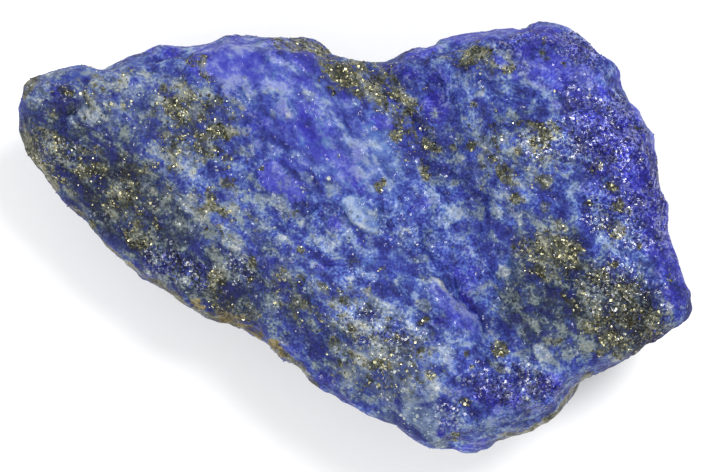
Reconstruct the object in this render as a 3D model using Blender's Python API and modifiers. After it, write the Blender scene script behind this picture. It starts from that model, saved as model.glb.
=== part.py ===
"""A rough piece of lapis lazuli, about 70 mm long, lying on the flat spot of its back.

The stone is one natural solid. X runs along its length, Y across its broad blue face and Z up
through its thickness. The face looks up. Run it with: blender --background --python part.py
"""

import math

import bmesh
import bpy
from mathutils import Euler, Vector, noise

MM = 0.001

# Driving dimensions, in millimetres
FACE_HEIGHT = 19.5
SLAB_HEIGHT = 20.0
REST_CUT = 0.25
COARSE_GRID = 0.9
FINE_GRID = 0.62
MOST_TRIANGLES = 7600
WELD = 0.01
CUT_TOLERANCE = 0.001

# The walls lean in by this share of their distance from the middle, from the rim to the base
WALL_TAPER = 0.07

# The face rises this much for each millimetre along X and Y
FACE_TILT = (0.02, -0.02)

# Breaks of the rock, in millimetres: how wide its flat facets are, and how far they stand out
LUMP_SIZE = 12.0
LUMP_DEPTH = 0.5
CHIP_SIZE = 7.0
CHIP_DEPTH = 1.5
HACKLE_SIZE = 3.1
HACKLE_DEPTH = 0.9

# The broad face is finer than the broken sides and back: its share of each break's depth.
# A surface turns from side to face as the upward part of its normal grows between two values.
FACE_CHIP_SHARE = 0.24
FACE_HACKLE_SHARE = 0.55
FACE_LEAN_FROM = 0.3
FACE_LEAN_TO = 0.7

# The big chips of the sides fade towards the rim, and every break fades towards the flat spot
CHIPS_FADE_FROM = 7.5
CHIPS_FADE_TO = 14.0
REST_CALM = 2.2

# The facets lie on two nets, each turned its own way so that no line runs along an axis
CHIP_TURN = Euler((0.5, 1.1, 0.3)).to_matrix()
HACKLE_TURN = Euler((1.9, 0.4, 2.2)).to_matrix()
NET_WARP = 0.55
CELL_MIDDLE = Vector((0.5, 0.5, 0.5))

# The silhouette, clockwise from the left tip, as stretches of points in millimetres.
# Each has the width of the rounded margin inside it, how far that margin falls, and the
# least height of the wall below it.
RIM = (
    ("left tip", 1.8, 3.0, 4.0, (
        (-35.0, 12.2), (-35.1, 13.3), (-34.6, 15.7), (-33.6, 16.8), (-31.2, 17.3))),
    ("upper left edge", 1.7, 3.8, 6.0, (
        (-28.0, 17.9), (-26.0, 17.6), (-23.9, 18.5), (-20.2, 20.0), (-18.8, 20.2), (-17.3, 19.8))),
    ("blue crown", 1.9, 4.2, 7.0, (
        (-14.9, 20.2), (-14.0, 20.9), (-12.9, 21.1), (-9.4, 20.9), (-5.1, 20.8))),
    ("notch", 1.5, 3.4, 8.0, (
        (-3.8, 20.4), (-2.9, 19.3), (-1.1, 18.7), (0.1, 18.2), (3.9, 18.4), (4.8, 19.3))),
    ("violet brow", 2.5, 5.2, 7.0, (
        (6.4, 19.8), (8.5, 20.0), (9.2, 20.7), (12.0, 21.2), (13.1, 21.1), (14.6, 21.9),
        (15.8, 21.5), (17.9, 22.2), (19.2, 22.6), (21.0, 22.2))),
    ("upper right corner", 1.9, 3.8, 7.0, (
        (23.5, 21.1), (25.4, 19.1), (26.5, 18.4), (27.7, 17.2), (27.5, 15.8), (28.8, 14.1))),
    ("right edge", 1.7, 3.6, 6.5, (
        (30.0, 12.1), (30.8, 11.0), (31.6, 7.8), (31.8, 5.1), (32.6, 3.2), (32.4, 1.1),
        (33.4, -2.0), (34.4, -4.5), (35.1, -6.4), (34.9, -8.0))),
    ("lower right corner", 1.5, 3.2, 5.5, (
        (34.1, -8.9), (32.4, -10.1), (30.2, -11.2), (29.6, -12.1), (28.4, -12.9), (25.0, -14.3))),
    ("banded side", 2.9, 6.8, 4.0, (
        (23.7, -15.3), (22.4, -17.3), (21.3, -18.6), (20.0, -19.5), (18.1, -20.5),
        (15.5, -21.0), (14.4, -21.9), (12.2, -22.7), (10.3, -22.1), (9.4, -22.5))),
    ("pale toe", 1.3, 2.2, 5.0, (
        (7.3, -21.9), (5.7, -20.7), (4.4, -19.8), (1.5, -18.8), (-1.7, -17.0))),
    ("lower edge", 1.2, 1.8, 6.0, (
        (-4.6, -15.1), (-5.9, -13.8), (-7.5, -12.7), (-9.2, -11.3), (-10.2, -10.7))),
    ("rusty rind", 1.4, 2.2, 6.5, (
        (-12.3, -9.6), (-15.8, -8.4), (-18.5, -6.6), (-22.5, -4.2), (-23.7, -3.0))),
    ("lower left edge", 1.3, 2.0, 5.0, (
        (-25.9, -1.1), (-27.7, 0.7), (-28.7, 2.3), (-30.6, 3.8), (-31.9, 5.5),
        (-33.1, 7.2), (-34.3, 8.7), (-35.1, 11.0))),
)
RIM_BLENDS = 3
MARGIN_ROUNDING = 1.8

# Facets of the broken back: direction in degrees, start from the middle in mm, and slope.
# The first six are the low ones around the flat spot, the others are the steep outer breaks.
BACK_FACETS = (
    (0, 9.0, 0.12),
    (62, 7.0, 0.16),
    (122, 8.5, 0.11),
    (178, 9.5, 0.17),
    (247, 5.5, 0.22),
    (312, 8.0, 0.15),
    (188, 14.5, 0.42),
    (160, 21.0, 0.72),
    (207, 16.5, 0.85),
    (236, 10.8, 1.15),
    (263, 14.2, 1.05),
    (300, 20.4, 1.10),
    (334, 27.0, 1.05),
    (6, 27.6, 1.65),
    (46, 24.0, 1.40),
    (84, 15.4, 1.25),
    (112, 17.6, 1.20),
)
BACK_MIDDLE = (0.5, 1.5)

# The lower left flank falls away below this crest, in millimetres, after an eased start
FLANK_CREST = ((-34, 16), (-24, 11.5), (-16, 6.5), (-9, 0), (-2.5, -6.5), (4.5, -13), (11, -19))
FLANK_SLOPE = 0.36
FLANK_EASE = 3.0

# Ridges of the face, and valleys where the height is negative: width of the left flank,
# width of the right flank, height, and the path, all in millimetres
RIDGES = (
    ("valley below the notch", 5.6, 4.2, -1.6, (
        (1.4, 20.0), (4.6, 15.6), (8.2, 12.6), (9.4, 8.0), (10.8, 3.4), (9.6, -1.4),
        (12.4, -6.2), (14.0, -10.6), (18.0, -17.0))),
    ("middle swell", 3.2, 4.2, 0.8, (
        (-8.0, 19.0), (-3.0, 12.0), (1.5, 6.5), (4.8, 0.0), (7.5, -5.0), (12.2, -10.5),
        (15.0, -15.0))),
    ("bright blue ridge", 1.0, 2.6, 0.9, (
        (6.5, -4.5), (9.5, -7.8), (12.0, -10.6), (14.0, -14.0))),
)

# Ledges of the face: how far the raised ground eases back, its height, and the path, which
# has the raised ground on its left, all in millimetres
LEDGES = (
    ("edge of the blue lens", 3.4, 0.7, ((-10.2, 8.4), (-9.4, 5.6), (-7.0, 3.6), (-5.6, 2.2))),
    ("edge of the left recess", 4.2, 0.9, (
        (-27.6, 15.2), (-28.0, 13.2), (-29.6, 11.2), (-31.8, 10.4))),
    ("first brow ledge", 2.8, 0.8, ((25.5, 17.8), (19.0, 17.2), (13.0, 18.0))),
    ("second brow ledge", 2.8, 0.8, ((28.0, 13.6), (20.0, 14.0), (12.0, 14.9))),
    ("third brow ledge", 2.8, 0.8, ((30.0, 10.4), (22.0, 10.9), (14.0, 12.2))),
    ("right ledge", 3.4, 0.8, ((20.0, 6.2), (25.0, 4.4), (28.6, 3.0), (31.5, 2.6))),
    ("ledge by the valley", 3.4, 0.8, ((12.2, 6.0), (14.6, 4.4), (17.6, 4.0))),
    ("lower right ledge", 3.4, 0.8, ((16.0, -6.5), (20.5, -8.4), (24.0, -10.8))),
)

# Swells, hollows and pits of the face: middle, half lengths, turn in degrees, and height, in mm
MOUNDS = (
    (-4.5, 9.5, 15.0, 6.0, -48, 1.4),
    (21.0, 5.5, 12.0, 11.0, -20, 1.7),
    (8.2, 15.4, 3.6, 2.6, -60, -0.9),
    (16.2, 9.8, 3.2, 2.4, 0, 0.8),
    (19.5, 17.0, 3.4, 2.2, 10, -0.8),
    (14.2, 15.6, 2.8, 2.0, -30, -0.6),
    (-30.3, 13.6, 2.9, 2.2, -30, -0.9),
    (-20.5, 12.0, 5.0, 3.6, -35, 0.8),
    (-13.5, 1.5, 4.2, 2.4, -42, 0.7),
    (-21.5, 0.5, 4.6, 2.6, -45, 0.6),
    (2.5, -9.8, 3.8, 2.6, -40, 0.8),
    (7.6, -12.6, 2.8, 3.4, 0, 0.7),
    (20.5, -4.2, 4.4, 3.4, -20, 0.9),
    (27.6, -7.6, 4.6, 3.4, -35, -0.8),
    (31.0, -4.0, 2.8, 2.4, 30, 0.7),
    (17.4, -15.6, 4.2, 2.6, 25, 0.7),
    (9.0, -17.8, 3.0, 2.4, -20, -0.6),
    (-5.8, 4.1, 1.5, 1.0, -40, -0.7),
    (-5.3, -1.4, 1.6, 1.0, -50, -0.6),
)

# The pale flake that stands on the face: its outline, height and edge width in mm
FLAKE = ((-1.2, 3.2), (-0.3, 4.2), (1.1, 3.5), (2.2, 1.9), (2.4, 0.7), (0.9, 0.5), (-0.5, 1.4))
FLAKE_HEIGHT = 0.7
FLAKE_EDGE = 0.5

# The layers of the rock show as low ribs: direction across them in degrees, the rest in mm
RIB_DIRECTION = 40.0
RIB_SPACING = 3.7
RIB_HEIGHT = 0.24
RIB_WAVER = 1.6
RIB_WAVER_SIZE = 11.0
RIBS_FADE_FROM = 8.0
RIBS_FADE_TO = 16.0


def smooth(value):
    """An even S from 0 to 1 as the value goes from 0 to 1."""
    share = max(0.0, min(1.0, value))
    return share * share * (3.0 - 2.0 * share)


def ramp(value, start, end):
    """An even S from 0 to 1 as the value goes from the start to the end."""
    return smooth((value - start) / (end - start))


def nearest_on(path, x, y, closed=False):
    """(distance, side, leg, share) of the path's nearest point: side is positive on its left."""
    ends = path[1:] + path[:1] if closed else path[1:]
    best = (1e9, 1.0, 0, 0.0)
    for leg, ((x0, y0), (x1, y1)) in enumerate(zip(path, ends)):
        run_x, run_y = x1 - x0, y1 - y0
        share = ((x - x0) * run_x + (y - y0) * run_y) / (run_x**2 + run_y**2)
        share = max(0.0, min(1.0, share))
        away_x, away_y = x - x0 - share * run_x, y - y0 - share * run_y
        distance = math.hypot(away_x, away_y)
        if distance < best[0]:
            best = (distance, run_x * away_y - run_y * away_x, leg, share)
    return best


def ridge(x, y, path, left, right, height):
    """A crest along the path, or a valley if the height is negative, with unlike flanks."""
    distance, side = nearest_on(path, x, y)[:2]
    width = left if side > 0 else right
    return height * smooth(1.0 - distance / width)


def ledge(x, y, path, reach, height):
    """The ground left of the path stands up and eases back over the reach."""
    distance, side = nearest_on(path, x, y)[:2]
    if side <= 0 or distance > reach:
        return 0.0
    return height * smooth(1.0 - distance / reach)


def mound(x, y, middle_x, middle_y, long_half, short_half, turn, height):
    """A round swell, or a hollow if the height is negative."""
    angle = math.radians(turn)
    along = (x - middle_x) * math.cos(angle) + (y - middle_y) * math.sin(angle)
    across = (y - middle_y) * math.cos(angle) - (x - middle_x) * math.sin(angle)
    return height * smooth(1.0 - math.hypot(along / long_half, across / short_half))


def flank_fall(x, y):
    """How far the lower left flank falls away below its crest."""
    distance, side = nearest_on(FLANK_CREST, x, y)[:2]
    return FLANK_SLOPE * distance * smooth(distance / FLANK_EASE) if side < 0 else 0.0


def ribs(x, y):
    """Low ribs that run down the left and middle of the face, as the layers of the rock do."""
    angle = math.radians(RIB_DIRECTION)
    across = math.cos(angle) * x + math.sin(angle) * y
    across += RIB_WAVER * noise.noise(Vector((x, y, 0.0)) / RIB_WAVER_SIZE)
    fade = 1.0 - ramp(x, RIBS_FADE_FROM, RIBS_FADE_TO)
    return RIB_HEIGHT * fade * math.sin(across * 2.0 * math.pi / RIB_SPACING)


def face_height(x, y):
    """Height of the broad face in mm, before its margin falls to the rim."""
    height = FACE_HEIGHT + FACE_TILT[0] * x + FACE_TILT[1] * y
    height += ribs(x, y) - flank_fall(x, y)
    for _, left, right, rise, path in RIDGES:
        height += ridge(x, y, path, left, right, rise)
    for _, reach, rise, path in LEDGES:
        height += ledge(x, y, path, reach, rise)
    for form in MOUNDS:
        height += mound(x, y, *form)
    distance, side = nearest_on(FLAKE, x, y, closed=True)[:2]
    if side < 0:
        height += FLAKE_HEIGHT * smooth(distance / FLAKE_EDGE)
    return height


def rim_points():
    """The rim's points in order, and at each the margin width, its fall and the wall height."""
    points = []
    shapes = []
    for _, width, fall, wall, stretch in RIM:
        points.extend(stretch)
        shapes.extend([Vector((width, fall, wall))] * len(stretch))
    for _ in range(RIM_BLENDS):
        before = shapes[-1:] + shapes[:-1]
        after = shapes[1:] + shapes[:1]
        shapes = [0.25 * a + 0.5 * b + 0.25 * c for a, b, c in zip(before, shapes, after)]
    return tuple(points), shapes


def top_and_bottom(x, y, rim, shapes):
    """Heights of the face and of the back at a point of the plan, in mm."""
    distance, _, leg, share = nearest_on(rim, x, y, closed=True)
    width, fall, wall = shapes[leg].lerp(shapes[(leg + 1) % len(rim)], share)
    face = face_height(x, y)
    top = face - fall * (1.0 - min(1.0, distance / width)) ** MARGIN_ROUNDING
    bottom = 0.0
    for degrees, start, slope in BACK_FACETS:
        angle = math.radians(degrees)
        out = (x - BACK_MIDDLE[0]) * math.cos(angle) + (y - BACK_MIDDLE[1]) * math.sin(angle)
        bottom = max(bottom, slope * (out - start))
    return top, min(bottom, face - fall - wall)


def flat_facets(point, size, turn):
    """A height from -1 to 1 at the point: flat facets about this size, meeting in sharp creases.

    Each corner of a warped net has a height of its own, and the tetrahedra between them are flat.
    """
    place = turn @ point / size
    place += NET_WARP * noise.noise_vector(place)
    corner = Vector([math.floor(value) for value in place])
    inside = place - corner
    corner_height = noise.cell(corner + CELL_MIDDLE)
    height = corner_height
    for axis in sorted(range(3), key=lambda axis: -inside[axis]):
        corner[axis] += 1.0
        next_height = noise.cell(corner + CELL_MIDDLE)
        height += inside[axis] * (next_height - corner_height)
        corner_height = next_height
    return height


def break_depth(point, normal):
    """How far the broken surface stands out of the plain form at a point, in mm."""
    face = ramp(normal.z, FACE_LEAN_FROM, FACE_LEAN_TO)
    high = ramp(point.z, CHIPS_FADE_FROM, CHIPS_FADE_TO)
    chip = CHIP_DEPTH * (1.0 - max(face, high) * (1.0 - FACE_CHIP_SHARE))
    hackle = HACKLE_DEPTH * (1.0 - face * (1.0 - FACE_HACKLE_SHARE))
    depth = LUMP_DEPTH * noise.noise(point / LUMP_SIZE)
    depth += chip * flat_facets(point, CHIP_SIZE, CHIP_TURN)
    depth += hackle * flat_facets(point, HACKLE_SIZE, HACKLE_TURN)
    return depth * smooth(point.z / REST_CALM)


def outline_slab(rim):
    """A flat slab cut to the rim's outline, from a filled curve."""
    curve = bpy.data.curves.new("outline", "CURVE")
    curve.dimensions = "2D"
    curve.fill_mode = "BOTH"
    curve.extrude = SLAB_HEIGHT * MM / 2.0
    spline = curve.splines.new("POLY")
    spline.points.add(len(rim) - 1)
    for point, (x, y) in zip(spline.points, rim):
        point.co = (x * MM, y * MM, 0.0, 1.0)
    spline.use_cyclic_u = True
    outline = bpy.data.objects.new("outline", curve)
    bpy.context.scene.collection.objects.link(outline)
    bpy.context.view_layer.update()
    graph = bpy.context.evaluated_depsgraph_get()
    mesh = bpy.data.meshes.new_from_object(outline.evaluated_get(graph))
    bpy.data.objects.remove(outline)
    slab = bmesh.new()
    slab.from_mesh(mesh)
    bmesh.ops.remove_doubles(slab, verts=slab.verts, dist=WELD * MM)
    bmesh.ops.translate(slab, verts=slab.verts, vec=(0.0, 0.0, SLAB_HEIGHT * MM / 2.0))
    bmesh.ops.recalc_face_normals(slab, faces=slab.faces)
    slab.to_mesh(mesh)
    slab.free()
    return mesh


def apply_modifiers(stone):
    """Bakes the object's modifiers into its mesh."""
    bpy.context.view_layer.update()
    graph = bpy.context.evaluated_depsgraph_get()
    mesh = bpy.data.meshes.new_from_object(stone.evaluated_get(graph))
    stone.modifiers.clear()
    stone.data = mesh


def remesh(stone, grid):
    """Covers the stone with an even net of faces."""
    net = stone.modifiers.new("net", "REMESH")
    net.mode = "VOXEL"
    net.voxel_size = grid * MM
    apply_modifiers(stone)


def shape_stone(stone, rim, shapes):
    """Moves the slab's net to the face above and to the back below."""
    for vertex in stone.data.vertices:
        x, y = vertex.co.x / MM, vertex.co.y / MM
        share = max(0.0, min(1.0, vertex.co.z / MM / SLAB_HEIGHT))
        top, bottom = top_and_bottom(x, y, rim, shapes)
        height = bottom + (top - bottom) * share
        taper = 1.0 - WALL_TAPER * (1.0 - share)
        vertex.co = Vector((x * taper, y * taper, height)) * MM


def break_surface(stone):
    """Gives the net the lumps, chips and hackles of broken rock."""
    mesh = stone.data
    normals = [vertex.normal.copy() for vertex in mesh.vertices]
    for vertex, normal in zip(mesh.vertices, normals):
        point = vertex.co / MM
        vertex.co = (point + normal * break_depth(point, normal)) * MM


def thin_net(stone):
    """Keeps the faces that the form needs, more of them along its edges and steps."""
    triangles = 2 * len(stone.data.polygons)
    thin = stone.modifiers.new("thin", "DECIMATE")
    thin.ratio = min(1.0, MOST_TRIANGLES / triangles)
    apply_modifiers(stone)


def cut_rest(stone):
    """Cuts the flat spot that the stone rests on, and puts the origin at the base's middle."""
    body = bmesh.new()
    body.from_mesh(stone.data)
    bmesh.ops.bisect_plane(
        body,
        geom=body.verts[:] + body.edges[:] + body.faces[:],
        dist=CUT_TOLERANCE * MM,
        plane_co=(0.0, 0.0, REST_CUT * MM),
        plane_no=(0.0, 0.0, 1.0),
        clear_inner=True,
    )
    rim_edges = [edge for edge in body.edges if edge.is_boundary]
    bmesh.ops.holes_fill(body, edges=rim_edges, sides=0)
    bmesh.ops.dissolve_degenerate(body, dist=WELD * MM, edges=body.edges)
    bmesh.ops.triangulate(body, faces=body.faces)
    bmesh.ops.recalc_face_normals(body, faces=body.faces)
    low = [min(vertex.co[axis] for vertex in body.verts) for axis in range(3)]
    high = [max(vertex.co[axis] for vertex in body.verts) for axis in range(3)]
    shift = (-(low[0] + high[0]) / 2.0, -(low[1] + high[1]) / 2.0, -low[2])
    bmesh.ops.translate(body, verts=body.verts, vec=shift)
    body.to_mesh(stone.data)
    body.free()


def lapis_material():
    """Deep ultramarine stone with a dull broken surface."""
    material = bpy.data.materials.new("lapis_lazuli")
    material.use_nodes = True
    shader = material.node_tree.nodes["Principled BSDF"]
    shader.inputs["Base Color"].default_value = (0.045, 0.075, 0.42, 1.0)
    shader.inputs["Roughness"].default_value = 0.6
    shader.inputs["Metallic"].default_value = 0.0
    return material


def build_stone(collection):
    """The whole piece of rock, as one solid."""
    rim, shapes = rim_points()
    stone = bpy.data.objects.new("lapis_stone", outline_slab(rim))
    collection.objects.link(stone)
    remesh(stone, COARSE_GRID)
    shape_stone(stone, rim, shapes)
    remesh(stone, FINE_GRID)
    break_surface(stone)
    remesh(stone, FINE_GRID)
    thin_net(stone)
    cut_rest(stone)
    stone.data.materials.clear()
    stone.data.materials.append(lapis_material())


def main():
    """Clears the scene and builds the stone in a collection of its own."""
    for leftover in list(bpy.data.objects):
        bpy.data.objects.remove(leftover)
    collection = bpy.data.collections.new("rough lapis lazuli")
    bpy.context.scene.collection.children.link(collection)
    build_stone(collection)


main()
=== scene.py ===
"""Looks of a rough piece of lapis lazuli, laid out as a Blender add-on and run as a script.

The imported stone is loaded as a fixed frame. The rock is dressed with its fine broken surface, its
minerals and its crystals, and a plain stage shows it from above. Places on the stone's broad face
are in millimetres from the middle of its outline: X along its length, Y across it.
"""

import math

import bmesh
import bpy
import numpy as np
from mathutils import Euler, Matrix, Vector, noise


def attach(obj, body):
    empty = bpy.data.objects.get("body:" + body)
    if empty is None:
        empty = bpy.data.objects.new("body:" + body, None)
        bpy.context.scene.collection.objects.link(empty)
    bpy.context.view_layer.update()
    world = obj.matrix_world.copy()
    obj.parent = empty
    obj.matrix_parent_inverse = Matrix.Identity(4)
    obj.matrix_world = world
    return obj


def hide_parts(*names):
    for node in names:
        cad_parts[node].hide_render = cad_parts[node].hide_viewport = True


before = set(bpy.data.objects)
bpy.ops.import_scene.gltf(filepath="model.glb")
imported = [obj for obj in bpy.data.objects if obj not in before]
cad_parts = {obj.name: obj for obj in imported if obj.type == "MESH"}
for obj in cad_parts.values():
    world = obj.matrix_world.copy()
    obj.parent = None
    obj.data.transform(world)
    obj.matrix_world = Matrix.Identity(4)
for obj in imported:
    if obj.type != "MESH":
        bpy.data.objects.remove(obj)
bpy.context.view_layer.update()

bl_info = {
    "name": "Rough lapis lazuli",
    "version": (1, 0, 0),
    "blender": (4, 5, 0),
    "location": "3D View > Sidebar > Lapis",
    "description": "Dresses a rough lapis lazuli stone with its relief, minerals and crystals",
    "category": "Object",
}

MM = 0.001
NODE = "lapis_stone"

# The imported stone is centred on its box, and the face's places on the middle of its outline
PLAN_SHIFT = (-0.10, 0.0)

# Places of the minerals on the face: x, y, half length, half width, turn in degrees, strength.
# Pyrite grows in clusters of gold grains in a dark olive matrix.
PYRITE_PLACES = (
    (-34.8, 11.3, 1.1, 0.7, -70, 0.7), (-31.2, 12.8, 1.4, 0.8, -40, 0.5),
    (-27.4, 14.3, 1.8, 1.3, -60, 0.6), (-23.8, 17.2, 1.2, 0.6, 10, 0.6),
    (-16.6, 18.3, 1.5, 1.0, 0, 0.6), (-15.6, 17.2, 1.0, 0.8, -60, 0.7),
    (-19.8, 15.1, 1.2, 1.0, 0, 0.8), (-17.6, 14.5, 1.8, 0.8, 10, 0.9),
    (-19.0, 13.2, 2.0, 1.3, -50, 0.9), (-16.3, 12.3, 2.2, 0.7, -10, 0.6),
    (-14.2, 10.8, 2.2, 1.3, 10, 1.0), (-18.0, 10.3, 1.2, 0.8, 0, 0.7),
    (-19.0, 9.0, 1.6, 1.6, 0, 0.6), (-18.8, 7.0, 1.2, 0.9, -30, 0.6),
    (-13.4, 7.6, 1.0, 0.8, 90, 0.7), (-13.3, 5.6, 1.0, 0.8, 0, 0.7),
    (-28.6, 8.8, 1.4, 0.9, -40, 0.7), (-27.6, 7.0, 2.2, 0.9, 5, 1.0),
    (-29.0, 6.3, 1.3, 0.6, 0, 0.8), (-24.3, 6.2, 1.0, 0.9, 0, 0.7),
    (-21.3, 7.4, 1.6, 0.7, 10, 0.7), (-24.4, 3.7, 2.0, 1.5, -20, 0.9),
    (-22.6, 2.5, 1.3, 0.8, -20, 0.8), (-22.7, 0.0, 2.0, 1.6, -60, 0.9),
    (-20.9, 0.6, 1.6, 0.8, -30, 0.6), (-27.7, 1.3, 0.7, 0.5, 0, 0.9),
    (-15.3, 4.4, 1.1, 0.7, -50, 0.8), (-15.6, 2.7, 1.5, 0.7, 10, 0.8),
    (-13.7, 2.5, 1.0, 0.6, 0, 0.9), (-14.6, -4.2, 1.2, 1.1, 0, 1.0),
    (-15.0, -5.4, 0.5, 0.4, 0, 0.7), (-10.9, -2.9, 0.9, 0.7, 90, 1.0),
    (-10.9, -4.4, 0.6, 0.4, 0, 0.9), (-13.4, -8.2, 0.8, 0.4, -15, 0.8),
    (-10.8, -6.5, 0.6, 0.4, 0, 0.7), (-6.2, 20.4, 2.8, 0.8, 0, 0.7),
    (-3.4, 19.2, 1.3, 0.8, -30, 0.9), (-2.4, 17.6, 1.8, 1.2, -30, 0.7),
    (-0.6, 16.8, 2.0, 1.3, -20, 0.9), (0.2, 16.1, 1.0, 0.6, 0, 1.0),
    (2.2, 15.3, 1.6, 1.1, -50, 0.9), (-1.9, 15.4, 1.2, 0.6, 0, 0.7),
    (5.0, 14.3, 1.9, 0.9, -30, 0.9), (5.7, 12.9, 0.9, 0.8, -60, 0.8),
    (4.2, 10.6, 1.1, 1.0, 0, 0.9), (5.9, 9.8, 0.9, 0.7, 0, 0.6),
    (7.9, 9.4, 1.6, 0.7, -15, 0.9), (9.8, 9.3, 0.7, 0.5, 0, 0.8),
    (7.2, 7.6, 1.0, 0.8, 90, 0.7), (7.4, 6.4, 0.9, 0.8, 0, 0.8),
    (2.6, 5.3, 0.7, 0.7, 0, 0.9), (-1.6, 8.4, 0.5, 0.4, 0, 0.6),
    (-9.7, 7.0, 0.4, 0.4, 0, 0.8), (-6.5, 2.2, 1.6, 0.6, 0, 0.5),
    (-5.2, 3.2, 0.7, 0.6, 0, 0.7), (-0.5, -0.4, 0.5, 0.4, 0, 0.7),
    (-5.6, -1.4, 0.8, 0.5, -30, 0.7), (-0.2, -2.2, 0.8, 0.4, 0, 0.6),
    (2.8, -3.4, 0.6, 0.4, 0, 0.8), (12.7, 18.9, 2.0, 1.0, 25, 0.9),
    (11.2, 18.3, 0.7, 0.6, 0, 0.7), (14.4, 19.5, 0.8, 0.4, 0, 0.6),
    (16.0, 17.4, 0.7, 0.6, 0, 0.9), (19.8, 20.3, 0.8, 0.5, 90, 0.7),
    (19.6, 18.9, 0.8, 0.5, -40, 0.6), (13.2, 15.3, 0.4, 0.3, 0, 0.9),
    (21.8, 17.7, 0.4, 0.3, 0, 1.0), (12.4, 13.7, 0.5, 0.5, 0, 0.6),
    (16.8, 11.9, 0.6, 0.4, 0, 0.8), (18.7, 11.4, 1.4, 1.0, -30, 0.8),
    (20.7, 11.3, 1.2, 0.9, -10, 0.7), (19.3, 9.8, 1.5, 1.1, 0, 0.9),
    (12.4, 9.7, 0.7, 0.5, 0, 0.8), (16.8, 9.0, 0.6, 0.5, 0, 0.7),
    (14.5, 8.0, 0.5, 0.4, 0, 0.8), (15.6, 6.3, 1.3, 1.1, -40, 0.9),
    (16.9, 3.9, 0.9, 0.7, -20, 0.9), (19.8, 6.1, 1.0, 0.8, -40, 0.8),
    (19.8, 3.3, 0.9, 0.8, -60, 0.7), (13.2, 4.8, 0.6, 0.4, -40, 0.6),
    (25.0, 7.3, 1.1, 0.7, 20, 0.7), (26.6, 5.1, 1.0, 0.7, -20, 0.9),
    (29.3, 11.2, 0.4, 0.3, 0, 0.8), (24.4, 3.5, 0.8, 0.6, 0, 0.5),
    (27.3, 3.2, 1.2, 1.0, -30, 0.7), (28.6, 2.6, 0.7, 0.5, 90, 0.7),
    (21.2, 1.2, 0.9, 0.7, 0, 0.8), (27.0, 0.5, 1.7, 0.9, -20, 0.7),
    (19.3, -1.2, 1.7, 0.8, -20, 1.0), (21.9, -1.0, 2.0, 1.3, -30, 1.0),
    (19.0, -2.6, 1.3, 0.7, 0, 0.9), (22.2, -2.6, 1.6, 1.2, -40, 0.9),
    (17.9, -3.5, 0.6, 0.4, 0, 0.7), (29.7, -1.2, 0.6, 0.5, 0, 0.8),
    (26.8, -3.0, 0.8, 0.6, 90, 0.9), (25.2, -4.5, 1.7, 0.9, -10, 1.0),
    (26.9, -5.5, 0.9, 0.7, 0, 0.8), (28.3, -6.2, 1.7, 0.9, -35, 1.0),
    (26.0, -8.3, 1.8, 1.3, -20, 0.7), (28.0, -8.5, 2.2, 1.4, -30, 0.9),
    (30.8, -8.0, 1.5, 1.0, -30, 1.0), (26.7, -10.6, 1.8, 1.3, -20, 0.9),
    (25.3, -12.0, 1.0, 0.6, -10, 0.7), (27.4, -12.4, 0.9, 0.6, 0, 0.6),
    (23.8, -9.8, 0.7, 0.5, 0, 0.7), (32.8, -4.4, 0.9, 0.5, -30, 0.8),
    (20.6, -10.8, 1.2, 0.5, -10, 0.9), (15.0, -11.7, 1.0, 1.0, 0, 1.0),
    (11.7, -11.8, 0.5, 0.4, 0, 0.8), (12.0, -13.5, 0.4, 0.3, 0, 0.7),
    (11.2, -17.4, 0.8, 0.6, -40, 0.7), (10.4, -20.7, 0.6, 0.5, 45, 0.9),
    (1.5, -5.5, 0.5, 0.4, 0, 0.9), (-1.6, -5.6, 0.7, 0.4, -20, 0.7),
    (-7.4, -5.5, 0.6, 0.4, 0, 0.7), (-5.0, -7.0, 1.3, 0.5, -10, 0.7),
    (-1.2, -8.3, 0.5, 0.4, 0, 1.0), (-0.4, -9.5, 0.5, 0.4, -40, 0.9),
    (-3.9, -9.9, 0.4, 0.3, 0, 1.0), (3.2, -8.6, 0.8, 0.4, 0, 0.8),
    (6.9, -8.7, 0.9, 0.4, 0, 0.8), (4.7, -10.6, 0.7, 0.4, -30, 0.9),
    (3.4, -10.9, 0.4, 0.3, 0, 1.0), (6.6, -11.7, 0.6, 0.4, 0, 1.0),
    (2.8, -13.5, 1.5, 0.9, 0, 0.9), (4.6, -14.3, 0.7, 0.4, 0, 0.6),
    (3.2, -15.8, 0.7, 0.4, 0, 0.7), (-2.0, -11.2, 0.9, 0.6, -20, 0.6),
    # Wide zones where it is thinly scattered
    (-17.0, 12.0, 6.5, 5.5, -20, 0.54), (-25.0, 5.0, 8.0, 4.6, -30, 0.50),
    (-14.0, 3.0, 6.0, 4.0, -40, 0.36), (0.9, 16.6, 7.0, 2.7, -32, 0.68),
    (-6.4, 20.2, 3.8, 1.3, 0, 0.66), (6.2, 10.6, 3.4, 4.4, -20, 0.46),
    (17.0, 9.0, 7.0, 5.0, -20, 0.44), (20.4, -1.8, 5.0, 3.4, -20, 0.62),
    (27.0, -8.0, 6.4, 4.6, -25, 0.62), (-4.0, -7.0, 8.0, 3.4, -25, 0.44),
    (2.6, -13.0, 6.6, 4.2, -10, 0.54), (13.0, 18.4, 4.4, 2.2, 0, 0.46),
    (-27.0, 15.0, 7.0, 2.6, -5, 0.42),
    (-32.0, 8.6, 4.0, 3.2, -60, 0.60), (-13.0, -7.4, 5.0, 1.6, -22, 0.52),
)

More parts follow.
